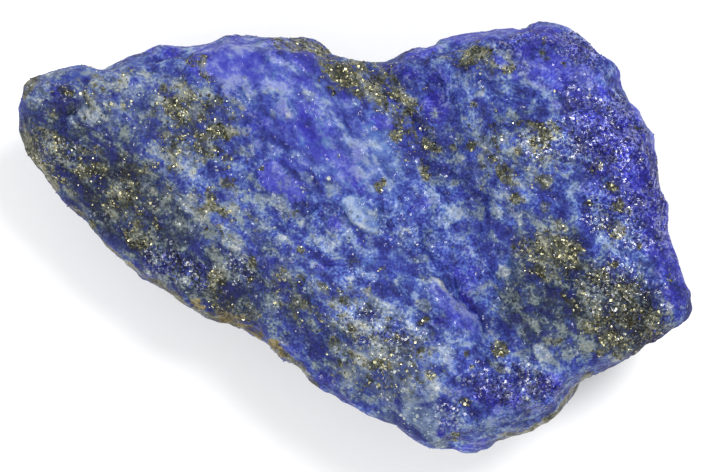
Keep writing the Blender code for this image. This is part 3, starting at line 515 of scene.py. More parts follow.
# The board is lit to white and the rock is deep in colour: this brings its tones to their depth
DEPTH = 0.6
CALCITE_GRAIN_TONES = (
    (0.1, "#4c5e80"), (0.35, "#66768c"), (0.65, "#7a868c"), (0.9, "#a4a8a4"))
LAZURITE_GRAIN_TONES = (
    (0.1, "#0a0844"), (0.35, "#151562"), (0.65, "#2b3182"), (0.9, "#4e5a9c"))
GRAIN_SHINE = 0.5

# Grains stand clear of the rest spot by about this much, in mm, and few stand on the steep rims
GRAINS_ABOVE = 0.5
RIM_GRAINS = 0.04

# The net of flat facets is turned so that no line runs along an axis
NET_TURN = Euler((0.7, 1.3, 0.4)).to_matrix()
NET_WARP = 0.55
CELL_MIDDLE = Vector((0.5, 0.5, 0.5))
REST_CALM = 1.2
WELD = 0.002
BATCH = 40

# Sockets of the Mix node when it mixes colours
MIX_FACTOR, MIX_A, MIX_B, MIX_RESULT = 0, 6, 7, 2

# The camera looks straight down. One pixel of the 708 pixel wide picture is this wide at the
# height of the face, and the picture's middle is here, all in the part's own frame.
PIXEL = 0.1045 * MM
PICTURE_WIDTH = 708
PICTURE_MIDDLE = (-0.26, 0.05)
FACE_LEVEL = 15.0
SENSOR = 36.0


def hex_colour(code):
    """An sRGB hex value such as #2a2c96, as the linear colour that Blender works in."""
    values = [int(code[start:start + 2], 16) / 255.0 for start in (1, 3, 5)]
    linear = [v / 12.92 if v <= 0.04045 else ((v + 0.055) / 1.055) ** 2.4 for v in values]
    return (*linear, 1.0)


def add(tree, kind, inputs=None, **settings):
    """Adds a node with its settings, and sets or links its inputs by name or number."""
    node = tree.nodes.new(kind)
    for name, value in settings.items():
        setattr(node, name, value)
    for name, value in (inputs or {}).items():
        socket = node.inputs[name]
        if isinstance(value, bpy.types.NodeSocket):
            tree.links.new(value, socket)
        else:
            socket.default_value = value
    return node


def paint_ramp(node, stops):
    """Sets a colour ramp's stops, each a position and a hex colour."""
    ramp = node.color_ramp
    while len(ramp.elements) < len(stops):
        ramp.elements.new(1.0)
    for element, (position, code) in zip(ramp.elements, stops):
        element.position = position
        element.color = hex_colour(code)


def swings_of(tree, texture):
    """A texture's three colour channels, each about zero, by name."""
    centred = add(tree, "ShaderNodeVectorMath", {
        0: texture.outputs["Color"], 1: (0.5, 0.5, 0.5)}, operation="SUBTRACT")
    parts = add(tree, "ShaderNodeSeparateColor", {"Color": centred.outputs[0]})
    return {channel: parts.outputs[channel] for channel in ("Red", "Green", "Blue")}


def weighted_sum(tree, start, parts):
    """The start plus each value times its weight, as one socket."""
    total = start
    for value, weight in parts:
        total = add(tree, "ShaderNodeMath", {0: value, 1: weight, 2: total},
                    operation="MULTIPLY_ADD").outputs[0]
    return total


def smooth(values):
    """An even S from 0 to 1 for an array."""
    share = np.clip(values, 0.0, 1.0)
    return share * share * (3.0 - 2.0 * share)


def field_of(plan, places):
    """The strongest of the places at each point of the plan, from 0 to 1."""
    field = np.zeros(len(plan))
    for x, y, long_half, short_half, turn, strength in places:
        cos, sin = math.cos(math.radians(turn)), math.sin(math.radians(turn))
        along = (plan[:, 0] - x) * cos + (plan[:, 1] - y) * sin
        across = (plan[:, 1] - y) * cos - (plan[:, 0] - x) * sin
        reach = 1.0 - np.hypot(along / long_half, across / short_half)
        field = np.maximum(field, strength * smooth(1.4 * reach + 0.35))
    return field


def distance_to(plan, path, closed=False):
    """How far each point of the plan is from a path, in mm."""
    nearest = np.full(len(plan), 1e9)
    ends = path[1:] + path[:1] if closed else path[1:]
    for start, end in zip(path, ends):
        start, run = np.array(start), np.array(end) - np.array(start)
        share = np.clip(((plan - start) @ run) / (run @ run), 0.0, 1.0)
        away = plan - start - share[:, None] * run
        nearest = np.minimum(nearest, np.hypot(away[:, 0], away[:, 1]))
    return nearest


def inside(plan, outline):
    """True for each point of the plan within a closed outline."""
    found = np.zeros(len(plan), bool)
    for (x0, y0), (x1, y1) in zip(outline, outline[1:] + outline[:1]):
        crosses = (y0 > plan[:, 1]) != (y1 > plan[:, 1])
        at = x0 + (plan[:, 1] - y0) * (x1 - x0) / (y1 - y0 if y1 != y0 else 1e-9)
        found ^= crosses & (plan[:, 0] < at)
    return found


def noise_at(points, size, seed, octaves=2):
    """Soft noise about -1 to 1, with features of this size in mm."""
    places = (points / size + np.array((17.3, 5.7, 11.1)) * seed).tolist()
    return np.array([noise.fractal(place, 1.0, 2.0, octaves) for place in places])


def wavered(points, size, amount, seed):
    """The points moved this much, in mm, by soft noise of this size."""
    places = (points / size + np.array((3.1, 9.7, 6.3)) * seed).tolist()
    return points + amount * np.array([noise.noise_vector(place)[:] for place in places])


def flat_facets(point, size):
    """A height from -1 to 1 at the point: flat facets about this size, meeting in sharp creases.

    Each corner of a warped net has a height of its own, and the tetrahedra between them are flat.
    """
    place = NET_TURN @ point / size
    place += NET_WARP * noise.noise_vector(place)
    corner = Vector([math.floor(value) for value in place])
    within = place - corner
    corner_height = noise.cell(corner + CELL_MIDDLE)
    height = corner_height
    for axis in sorted(range(3), key=lambda axis: -within[axis]):
        corner[axis] += 1.0
        next_height = noise.cell(corner + CELL_MIDDLE)
        height += within[axis] * (next_height - corner_height)
        corner_height = next_height
    return height


def facets_at(points, size):
    """The height of flat facets of this size at each point."""
    return np.array([flat_facets(Vector(p), size) for p in points])


def points_of(mesh, kind="co"):
    """The mesh's vertex places or normals as an array."""
    values = np.zeros(len(mesh.vertices) * 3, np.float32)
    source = mesh.vertices if kind == "co" else mesh.vertex_normals
    source.foreach_get(kind, values)
    return values.reshape(-1, 3).astype(float)


def store_field(mesh, name, values):
    """Keeps one number for each vertex, for the material to read."""
    field = mesh.attributes.new(name, "FLOAT", "POINT")
    field.data.foreach_set("value", values.astype(np.float32))


def read_field(mesh, name):
    """One number for each vertex, as store_field kept it."""
    values = np.zeros(len(mesh.vertices), np.float32)
    mesh.attributes[name].data.foreach_get("value", values)
    return values.astype(float)


def merged_copy(node, name):
    """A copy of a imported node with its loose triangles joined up, as a new object."""
    body = bmesh.new()
    body.from_mesh(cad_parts[node].data)
    bmesh.ops.remove_doubles(body, verts=body.verts, dist=WELD * MM)
    mesh = bpy.data.meshes.new(name)
    body.to_mesh(mesh)
    body.free()
    piece = bpy.data.objects.new(name, mesh)
    bpy.context.scene.collection.objects.link(piece)
    return piece


def even_net(piece, size):
    """Covers the piece with an even net of faces of this size in metres."""
    net = piece.modifiers.new("net", "REMESH")
    net.mode = "VOXEL"
    net.voxel_size = size
    bpy.context.view_layer.update()
    graph = bpy.context.evaluated_depsgraph_get()
    mesh = bpy.data.meshes.new_from_object(piece.evaluated_get(graph))
    piece.modifiers.clear()
    piece.data = mesh
    mesh.name = piece.name


def plan_of(points):
    """Where the points lie on the face's own plan, in mm."""
    return points[:, :2] - np.array(PLAN_SHIFT)


def mineral_field(points, ragged_plan, facing, places, patch, share, seed):
    """How much of a mineral there is at each point: its places on the face, patches elsewhere."""
    shown = field_of(ragged_plan, places)
    cloud = noise_at(points, patch, seed, 3)
    level = np.quantile(cloud, 1.0 - share)
    hidden = smooth((cloud - level) / HIDDEN_EDGE + 0.5)
    return facing * shown + (1.0 - facing) * hidden


def directions_of(plan):
    """Each point's direction and distance from the middle of the face."""
    away = plan - np.array(FACE_MIDDLE)
    return np.arctan2(away[:, 1], away[:, 0]), np.hypot(away[:, 0], away[:, 1])


def widest_reach(plan):
    """The farthest of the points from the middle of the face, in each step of direction."""
    way, reach = directions_of(plan)
    step = ((way + math.pi) / (2.0 * math.pi) * OUTLINE_STEPS).astype(int) % OUTLINE_STEPS
    widest = np.zeros(OUTLINE_STEPS)
    np.maximum.at(widest, step, reach)
    return widest


def drawn_to_outline(points):
    """The points with the stone's widest edge drawn to the outline, and 1 along that edge."""
    corners = np.array(OUTLINE)
    edges = np.roll(corners, -1, axis=0) - corners
    dense = np.concatenate([corners + edges * step / EDGE_STEPS for step in range(EDGE_STEPS)])
    widest = widest_reach(plan_of(points))
    stretch = np.clip(widest_reach(dense) / widest - 1.0, -MOST_STRETCH, MOST_STRETCH)
    stretch = (np.roll(stretch, 1) + stretch + np.roll(stretch, -1)) / 3.0

    steps = (np.arange(OUTLINE_STEPS) + 0.5) * 2.0 * math.pi / OUTLINE_STEPS - math.pi
    way, reach = directions_of(plan_of(points))
    outward = reach / np.interp(way, steps, widest, period=2.0 * math.pi)
    share = smooth((outward - STRETCH_FROM) / (1.0 - STRETCH_FROM))
    share *= np.interp(way, steps, stretch, period=2.0 * math.pi)
    moved = points.copy()
    moved[:, :2] += share[:, None] * (plan_of(points) - np.array(FACE_MIDDLE))
    return moved, smooth((outward - RIM_FROM) / (1.0 - RIM_FROM))


def flake_field(plan):
    """1 on the flat top of the pale flake, falling to 0 at its outline."""
    depth = distance_to(plan, FLAKE, closed=True) * inside(plan, FLAKE)
    return smooth(depth / FLAKE_EDGE)


def rind_field(plan):
    """1 along the weathered rind of the edges, and 0 away from it."""
    away = np.min([distance_to(plan, path) for path in RIND_PATHS], axis=0)
    return smooth(1.5 - away / RIND_WIDTH)


def band_field(points):
    """The thin layers that the stone is broken across, from -1 to 1, and where they are."""
    waver = BAND_WAVER * noise_at(points, 3.0, 41, 2)
    clear = BAND_FAINTEST + (1.0 - BAND_FAINTEST) * smooth(noise_at(points, 2.2, 43, 2) + 0.4)
    banding, anywhere = np.zeros(len(points)), np.zeros(len(points))
    for path, width, spacing in BANDS:
        away = distance_to(plan_of(points), path)
        zone = smooth(1.6 - away / width)
        banding += zone * clear * np.sin((away + waver) * 2.0 * math.pi / spacing)
        anywhere = np.maximum(anywhere, zone)
    return banding, anywhere


def rock_material(look):
    """Lapis lazuli: blue lazurite grown through with calcite and pyrite.

    A broken face of it is sugary: grains of 0.1 to 0.5 mm, a dull body colour, and here and there
    a flat grain that flashes white.
    """
    material = bpy.data.materials.new("lapis_lazuli_rough_broken")
    material.use_nodes = True
    tree = material.node_tree
    tree.nodes.clear()
    place = add(tree, "ShaderNodeTexCoord").outputs["Object"]
    layered = add(tree, "ShaderNodeMapping", {
        "Vector": place, "Rotation": (0.0, 0.0, LAYER_TURN), "Scale": (LAYER_STRETCH, 1.0, 1.0)},
        vector_type="TEXTURE").outputs["Vector"]

    fields = {}
    for name in FIELD_NAMES:
        fields[name] = add(tree, "ShaderNodeAttribute", attribute_name=name).outputs["Fac"]

    clouds = add(tree, "ShaderNodeTexNoise", {
        "Vector": layered, "Scale": 1.0 / look.cloud_size, "Detail": 3.0, "Roughness": 0.6})
    mottle = add(tree, "ShaderNodeTexNoise", {
        "Vector": layered, "Scale": 1.0 / look.mottle_size, "Detail": 4.0, "Roughness": 0.6,
        "Distortion": 0.2})
    grain = add(tree, "ShaderNodeTexNoise", {
        "Vector": place, "Scale": 1.0 / look.grain_size, "Detail": 2.0, "Roughness": 0.6})
    cells = add(tree, "ShaderNodeTexVoronoi", {
        "Vector": place, "Scale": 1.0 / look.glint_size})
    cloud_swing = swings_of(tree, clouds)
    mottle_swing = swings_of(tree, mottle)
    grain_swing = swings_of(tree, grain)
    cell_swing = swings_of(tree, cells)

    # The broken surface is even where it is calm, and sparkles where it is sugary
    lively = weighted_sum(tree, LIVELY, (
        (fields["sugar"], LIVELY_SUGAR), (fields["calm"], LIVELY_CALM)))

    # Dark, middle and light grains, by clouds, mottle and grain, and by lumps, creases and layers, with
    # painted light on the lumps and painted shade in the creases
    lively_grain = {}
    for channel, swing in grain_swing.items():
        lively_grain[channel] = add(tree, "ShaderNodeMath", {
            0: swing, 1: lively}, operation="MULTIPLY").outputs[0]
    tone = weighted_sum(tree, 0.5, (
        (cloud_swing["Red"], TONE_CLOUDS), (mottle_swing["Red"], TONE_MOTTLE),
        (lively_grain["Blue"], TONE_GRAIN), (fields["tint_and_painted_light"], TONE_TINT_AND_PAINTED_LIGHT)))
    ground = add(tree, "ShaderNodeValToRGB", {"Fac": tone})
    paint_ramp(ground, BODY_TONES)

    # Each mineral's edge is broken up by soft mottle and by grain, in one of three ways
    colour = ground.outputs["Color"]
    for name, tones, channel, broken, start, end in MINERAL_LAYERS:
        ramp = add(tree, "ShaderNodeValToRGB", {"Fac": tone})
        paint_ramp(ramp, tones)
        reach = weighted_sum(tree, 0.0, (
            (fields[name], 1.0), (mottle_swing[channel], broken),
            (lively_grain[channel], EDGE_GRAIN)))
        share = add(tree, "ShaderNodeMapRange", {
            "Value": reach, "From Min": start, "From Max": end},
            interpolation_type="SMOOTHSTEP")
        colour = add(tree, "ShaderNodeMix", {
            MIX_FACTOR: share.outputs["Result"], MIX_A: colour, MIX_B: ramp.outputs["Color"]},
            data_type="RGBA").outputs[MIX_RESULT]

    # Painted shade in the hollows of the broken surface and painted light on its raised facets, and
    # grains that differ in tone
    swing = weighted_sum(tree, 0.0, (
        (fields["relief"], PAINTED_RELIEF_SHADE), (cell_swing["Blue"], SHADE_CELLS),
        (grain_swing["Red"], SHADE_GRAIN)))
    shade = add(tree, "ShaderNodeMath", {
        0: swing, 1: lively, 2: 1.0}, operation="MULTIPLY_ADD").outputs[0]
    shade = add(tree, "ShaderNodeMath", {0: shade, 1: DARKEST}, operation="MAXIMUM").outputs[0]
    shade = add(tree, "ShaderNodeMath", {0: shade, 1: DEPTH}, operation="MULTIPLY").outputs[0]
    colour = add(tree, "ShaderNodeVectorMath", {
        0: colour, 3: shade}, operation="SCALE").outputs[0]

    # Tiny pyrite grains: whole cells turn to metal where the mineral is dense
    density = weighted_sum(tree, 0.0, (
        (fields["pyrite"], 1.0), (mottle_swing["Green"], METAL_MOTTLE)))
    density = add(tree, "ShaderNodeMapRange", {
        "Value": density, "From Min": 0.5, "From Max": 1.2,
        "To Min": -0.5, "To Max": look.pyrite_share - 0.5})
    metal = add(tree, "ShaderNodeMath", {
        0: cell_swing["Red"], 1: density.outputs["Result"]}, operation="LESS_THAN").outputs[0]
    colour = add(tree, "ShaderNodeMix", {
        MIX_FACTOR: metal, MIX_A: colour, MIX_B: hex_colour(BRASS)},
        data_type="RGBA").outputs[MIX_RESULT]

    # Each grain's flat face leans its own way, most in the sugary zones
    lean = weighted_sum(tree, 0.0, ((lively, look.glint_lean), (metal, METAL_LEAN)))
    centred = add(tree, "ShaderNodeVectorMath", {
        0: cells.outputs["Color"], 1: (0.5, 0.5, 0.5)}, operation="SUBTRACT")
    tilt = add(tree, "ShaderNodeVectorMath", {
        0: centred.outputs[0], 3: lean}, operation="SCALE")
    coarse_bump = add(tree, "ShaderNodeBump", {
        "Height": mottle.outputs["Fac"], "Distance": 0.3 * MM, "Strength": 0.7})
    fine_bump = add(tree, "ShaderNodeBump", {
        "Height": grain.outputs["Fac"], "Distance": 0.1 * MM, "Strength": 0.7,
        "Normal": coarse_bump.outputs["Normal"]})
    leaning = add(tree, "ShaderNodeVectorMath", {
        0: fine_bump.outputs["Normal"], 1: tilt.outputs[0]}, operation="ADD")
    normal = add(tree, "ShaderNodeVectorMath", {0: leaning.outputs[0]}, operation="NORMALIZE")

    # Cleaved grains have a glassy face, and the crushed rock between them is dull
    glassy = weighted_sum(tree, 0.0, ((cell_swing["Green"], 1.0), (fields["sugar"], GLASS_SUGAR)))
    glassy = add(tree, "ShaderNodeMapRange", {
        "Value": glassy, "From Min": GLASS_FROM, "From Max": GLASS_FROM + 0.1})
    roughness = add(tree, "ShaderNodeMapRange", {"Value": metal, "To Min": 0.6, "To Max": 0.3})

    shader = add(tree, "ShaderNodeBsdfPrincipled", {
        "Base Color": colour, "Metallic": metal, "Roughness": roughness.outputs["Result"],
        "IOR": 1.5, "Specular IOR Level": ROCK_SHINE, "Normal": normal.outputs[0],
        "Coat Weight": glassy.outputs["Result"], "Coat Roughness": look.glint_roughness,
        "Coat IOR": GLASS_IOR, "Coat Normal": normal.outputs[0]})
    add(tree, "ShaderNodeOutputMaterial", {"Surface": shader.outputs["BSDF"]})
    return material


def pyrite_material(look):
    """Pyrite: pale brassy metal. Its cube faces are flat and bright, and dark where they look away."""
    material = bpy.data.materials.new("pyrite_crystal_brassy")
    material.use_nodes = True
    tree = material.node_tree
    shader = tree.nodes["Principled BSDF"]
    shader.inputs["Metallic"].default_value = 1.0
    place = add(tree, "ShaderNodeTexCoord").outputs["Object"]
    tarnish = add(tree, "ShaderNodeTexNoise", {
        "Vector": place, "Scale": 1.0 / (0.6 * MM), "Detail": 2.0})
    ramp = add(tree, "ShaderNodeValToRGB", {"Fac": tarnish.outputs["Fac"]})
    paint_ramp(ramp, ((0.35, "#4a493a"), (0.5, "#726f58"), (0.65, "#aaa689")))
    tree.links.new(ramp.outputs["Color"], shader.inputs["Base Color"])
    scratch = add(tree, "ShaderNodeTexNoise", {"Vector": place, "Scale": 1.0 / (0.08 * MM)})
    bump = add(tree, "ShaderNodeBump", {
        "Height": scratch.outputs["Fac"], "Distance": 0.01 * MM, "Strength": 0.5})
    tree.links.new(bump.outputs["Normal"], shader.inputs["Normal"])
    roughness = add(tree, "ShaderNodeMapRange", {
        "Value": scratch.outputs["Fac"], "To Min": look.roughness - 0.08,
        "To Max": look.roughness + 0.12})
    tree.links.new(roughness.outputs["Result"], shader.inputs["Roughness"])
    return material


def grain_material(name, tones, roughness):
    """A mineral's separate grains: each has its own shade, and slightly waxy cleaved faces."""
    material = bpy.data.materials.new(name)
    material.use_nodes = True
    tree = material.node_tree
    shader = tree.nodes["Principled BSDF"]
    place = add(tree, "ShaderNodeTexCoord").outputs["Object"]
    own_tone = add(tree, "ShaderNodeAttribute", attribute_name="tone").outputs["Fac"]
    cloud = add(tree, "ShaderNodeTexNoise", {
        "Vector": place, "Scale": 1.0 / (0.25 * MM), "Detail": 2.0})
    tone = add(tree, "ShaderNodeMath", {
        0: cloud.outputs["Fac"], 1: 0.7, 2: own_tone}, operation="MULTIPLY_ADD")
    tone = add(tree, "ShaderNodeMath", {0: tone.outputs[0], 1: 0.35}, operation="SUBTRACT")
    ramp = add(tree, "ShaderNodeValToRGB", {"Fac": tone.outputs[0]})
    paint_ramp(ramp, tones)
    tree.links.new(ramp.outputs["Color"], shader.inputs["Base Color"])
    bump = add(tree, "ShaderNodeBump", {
        "Height": cloud.outputs["Fac"], "Distance": 0.05 * MM, "Strength": 0.6})
    tree.links.new(bump.outputs["Normal"], shader.inputs["Normal"])
    shine = add(tree, "ShaderNodeMapRange", {
        "Value": own_tone, "To Min": roughness + 0.12, "To Max": roughness - 0.1})
    tree.links.new(shine.outputs["Result"], shader.inputs["Roughness"])
    shader.inputs["Specular IOR Level"].default_value = GRAIN_SHINE
    return material


def board_material(look):
    """Matt white board: plain, dull and pale."""
    material = bpy.data.materials.new("matt_white_board")
    material.use_nodes = True
    tree = material.node_tree
    shader = tree.nodes["Principled BSDF"]
    shader.inputs["Roughness"].default_value = 0.9
    shader.inputs["Specular IOR Level"].default_value = 0.1
    place = add(tree, "ShaderNodeTexCoord").outputs["Object"]
    paper = add(tree, "ShaderNodeTexNoise", {"Vector": place, "Scale": 1.0 / (1.5 * MM)})
    shade = add(tree, "ShaderNodeMix", {
        MIX_FACTOR: paper.outputs["Fac"], MIX_A: (*look.floor_colour, 1.0),
        MIX_B: tuple(0.985 * value for value in look.floor_colour) + (1.0,)}, data_type="RGBA")
    tree.links.new(shade.outputs[MIX_RESULT], shader.inputs["Base Color"])
    return material


def dress_rock(look):
    """The stone's own surface: finely broken, and marked with where each mineral grows."""
    rock = merged_copy(NODE, "lapis_rock")
    even_net(rock, look.net_size)
    mesh = rock.data
    normals = points_of(mesh, "vector")
    points, rim = drawn_to_outline(points_of(mesh) / MM)
    facing = smooth((normals[:, 2] - FACING_FROM) / (FACING_TO - FACING_FROM))
    plan = plan_of(points)
    flake = facing * flake_field(plan)

    ragged_plan = plan_of(wavered(wavered(points, 1.7, 0.45, 1), 0.7, 0.22, 2))
    fields = {}
    for seed, (name, places, patch, share) in enumerate(MINERALS):
        field = mineral_field(points, ragged_plan, facing, places, patch, share, seed + 3)
        fields[name] = field * (1.0 - flake)
    fields["azure"] += FLAKE_AZURE * flake
    fields["calcite"] += FLAKE_CALCITE * flake
    fields["calm"] += FLAKE_CALM * flake
    fields["rind"] = np.maximum(facing * rind_field(plan), 0.55 * (1.0 - facing) * smooth(
        noise_at(points, 6.0, 97, 3) + 0.4))
    banding, band_zone = band_field(points)
    # Lumps and creases stand out and sink in, and their tint is painted light on the pale lumps and
    # painted shade in the creases
    lumps_and_painted_light = field_of(ragged_plan, PALE_AND_PAINTED_LIGHT_PLACES) - field_of(ragged_plan, PAINTED_SHADE_PLACES)
    lumps_and_painted_light *= facing * (1.0 - flake)
    fields["tint_and_painted_light"] = lumps_and_painted_light + FLAKE_TINT * flake + banding

    chips = facets_at(points, look.chip_size / MM)
    hackle = facets_at(points, look.hackle_size / MM)
    sugar_grain = facets_at(points, look.sugar_size / MM)
    calm, sugar = fields["calm"], fields["sugar"]
    rugged = (1.0 - 0.75 * calm - 0.5 * band_zone) * (1.0 - RIM_CALM * rim)
    relief = chips * look.chip_depth / MM * rugged
    relief += hackle * look.hackle_depth / MM * rugged * (1.0 + SUGAR_HACKLE * sugar)
    relief += sugar_grain * look.sugar_depth / MM * (0.45 + 0.55 * sugar) * (1.0 - 0.6 * calm)
    relief += BAND_DEPTH * banding + LUMP_DEPTH * lumps_and_painted_light * (1.0 - rim)
    relief += flake * (FLAKE_RISE + (plan[:, 0] - plan[:, 1]) * FLAKE_LEAN)
    relief *= smooth(points[:, 2] / REST_CALM)
    # The facet heights, which the material turns into painted shade in the hollows and painted light on
    # the raised facets
    fields["relief"] = np.clip((hackle + sugar_grain + 0.6 * chips) / 1.4, -1.0, 1.0)
    for name, field in fields.items():
        store_field(mesh, name, field)
    moved = points + normals * relief[:, None]
    moved[:, 2] = np.maximum(moved[:, 2], 0.0)
    mesh.vertices.foreach_set("co", (moved * MM).astype(np.float32).ravel())
    mesh.update()
    mesh.shade_smooth()
    mesh.materials.clear()
    mesh.materials.append(rock_material(look))
    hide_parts(NODE)
    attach(rock, "root")
    return rock


def rock_piece():
    """The dressed rock, which every grain is set in."""
    rock = bpy.data.objects.get("lapis_rock")
    if rock is None:
        raise RuntimeError("dress the rock first: the grains are set in its surface")
    return rock


def pick_sites(weights, count, draw):
    """Vertices picked at random in proportion to their weights, each at most once."""
    total = weights.sum()
    if total <= 0.0:
        raise RuntimeError("there is nowhere on the rock for these grains")
    count = min(count, int(np.count_nonzero(weights)))
    return draw.choice(len(weights), size=count, replace=False, p=weights / total)


def room_for_grains(rock):
    """How readily grains stand on each vertex: few on the steep rims, and none on the rest spot."""
    lean = np.abs(points_of(rock, "vector")[:, 2])
    above = smooth(points_of(rock)[:, 2] / (GRAINS_ABOVE * MM) - 1.0)
    return above * (RIM_GRAINS + (1.0 - RIM_GRAINS) * smooth(2.0 * lean))


def random_turn(draw):
    """A turn that is as likely to face any way as any other."""
    axis = Vector(draw.normal(size=3)).normalized()
    return Matrix.Rotation(draw.uniform(0.0, 2.0 * math.pi), 4, axis)


def grow_grains(name, shape, sites, sizes, stretch, sink, draw, tones):
    """One piece of many small closed grains, each set in the rock at a site.

    The grains are made in batches, because an operator's time grows with the mesh it works on.
    """
    rock = rock_piece().data
    points, normals = points_of(rock), points_of(rock, "vector")
    whole = bmesh.new()
    whole.verts.layers.float.new("tone")
    for start in range(0, len(sites), BATCH):
        batch = bmesh.new()
        tone_layer = batch.verts.layers.float.new("tone")
        for number in range(start, min(start + BATCH, len(sites))):
            site, size = sites[number], sizes[number]
            out = Vector(normals[site])
            place = Vector(points[site]) + out * size * (0.5 - sink)
            squeeze = [draw.uniform(1.0 - stretch, 1.0 + stretch) for _ in range(3)]
            matrix = Matrix.Translation(place) @ random_turn(draw)
            matrix = matrix @ Matrix.Diagonal((*[size * share for share in squeeze], 1.0))
            if shape == "cube":
                made = bmesh.ops.create_cube(batch, size=1.0, matrix=matrix)
            else:
                made = bmesh.ops.create_icosphere(
                    batch, subdivisions=1, radius=0.5, matrix=matrix)
            for vertex in made["verts"]:
                vertex[tone_layer] = tones[number]
                vertex.co.z = max(vertex.co.z, 0.0)
        mesh = bpy.data.meshes.new("batch")
        batch.to_mesh(mesh)
        batch.free()
        whole.from_mesh(mesh)
        bpy.data.meshes.remove(mesh)
    mesh = bpy.data.meshes.new(name)
    whole.to_mesh(mesh)
    whole.free()
    piece = bpy.data.objects.new(name, mesh)
    bpy.context.scene.collection.objects.link(piece)
    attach(piece, "root")
    return piece


def grow_pyrite(look):
    """Gold cubes of pyrite, crowded in their clusters and thinly scattered elsewhere."""
    draw = np.random.default_rng(look.seed)
    rock = rock_piece().data
    pyrite = read_field(rock, "pyrite")
    weights = np.clip(pyrite - 0.3, 0.0, 1.0) ** 1.4 + 0.002 * (1.0 - read_field(rock, "calm"))
    sites = pick_sites(weights * room_for_grains(rock), look.count, draw)
    reach = draw.beta(1.2, 4.5, size=len(sites))
    sizes = look.smallest + (look.largest - look.smallest) * reach
    tones = draw.uniform(size=len(sites))
    crystals = grow_grains("pyrite_crystals", "cube", sites, sizes, 0.35, 0.55, draw, tones)
    crystals.data.materials.append(pyrite_material(look))
    return crystals


def grow_calcite(look):
    """Pale grains of calcite, where the rock is pale."""
    draw = np.random.default_rng(look.seed)
    rock = rock_piece().data
    calcite = read_field(rock, "calcite")
    weights = np.clip(calcite - 0.4, 0.0, 1.0) ** 1.3
    sites = pick_sites(weights * room_for_grains(rock), look.count, draw)
    sizes = look.smallest + (look.largest - look.smallest) * draw.beta(1.2, 3.0, size=len(sites))
    tones = draw.uniform(size=len(sites))
    grains = grow_grains("calcite_grains", "ball", sites, sizes, 0.4, 0.8, draw, tones)
    grains.data.materials.append(grain_material("calcite_cleaved_waxy", CALCITE_GRAIN_TONES, 0.5))
    return grains


def grow_lazurite(look):
    """Cleaved grains of the blue mineral, in the sugary zones."""
    draw = np.random.default_rng(look.seed)
    rock = rock_piece().data
    sugar = read_field(rock, "sugar")
    other = np.maximum(read_field(rock, "calcite"), read_field(rock, "pyrite"))
    weights = np.clip(sugar - 0.15, 0.0, 1.0) * np.clip(1.0 - 1.4 * other, 0.0, 1.0)
    sites = pick_sites(weights * room_for_grains(rock), look.count, draw)
    sizes = look.smallest + (look.largest - look.smallest) * draw.beta(1.2, 3.0, size=len(sites))
    tones = draw.uniform(size=len(sites))
    grains = grow_grains("lazurite_grains", "ball", sites, sizes, 0.4, 0.7, draw, tones)
    grains.data.materials.append(
        grain_material("lazurite_cleaved_glassy", LAZURITE_GRAIN_TONES, 0.3))
    return grains


def aimed(place, target):
    """The turn that points a lamp or a camera at the target, with +Y up in its picture."""
    direction = (Vector(target) - Vector(place)).normalized()
    return direction.to_track_quat("-Z", "Y").to_euler()


def add_softbox(name, place, size, radiance):
    """A round softbox that faces the stone, its face as bright as the radiance says."""
    light = bpy.data.lights.new(name, "AREA")
    light.shape = "DISK"
    light.size = size
    light.energy = radiance * math.pi * math.pi * (size / 2.0) ** 2
    lamp = bpy.data.objects.new(name, light)
    lamp.location = place
    lamp.rotation_euler = aimed(place, (0.0, 0.0, 0.01))
    bpy.context.scene.collection.objects.link(lamp)


def set_stage(look):
    """Floor, light and camera: a pale board, soft light from the upper right, a view from above."""
    scene = bpy.context.scene
    board = bmesh.new()
    bmesh.ops.create_grid(board, x_segments=1, y_segments=1, size=look.floor_size / 2.0)
    mesh = bpy.data.meshes.new("floor")
    board.to_mesh(mesh)
    board.free()
    mesh.materials.append(board_material(look))
    floor = bpy.data.objects.new("floor", mesh)
    scene.collection.objects.link(floor)

    add_softbox("key", (0.22, 0.26, 0.55), look.key_size, look.key_light)
    add_softbox("fill", (-0.45, -0.32, 0.62), look.fill_size, look.fill_light)
    world = bpy.data.worlds.new("grey studio")
    world.use_nodes = True
    background = world.node_tree.nodes["Background"]
    background.inputs["Color"].default_value = (1.0, 1.0, 1.0, 1.0)
    background.inputs["Strength"].default_value = look.room_light
    scene.world = world
    scene.view_settings.view_transform = "Standard"

    camera = bpy.data.cameras.new("camera")
    camera.sensor_width = SENSOR
    camera.lens = SENSOR * look.camera_height / (PICTURE_WIDTH * PIXEL)
    camera.clip_end = 10.0
    eye = bpy.data.objects.new("camera", camera)
    eye.location = (PICTURE_MIDDLE[0] * MM, PICTURE_MIDDLE[1] * MM,
                    look.camera_height + FACE_LEVEL * MM)
    scene.collection.objects.link(eye)
    scene.camera = eye


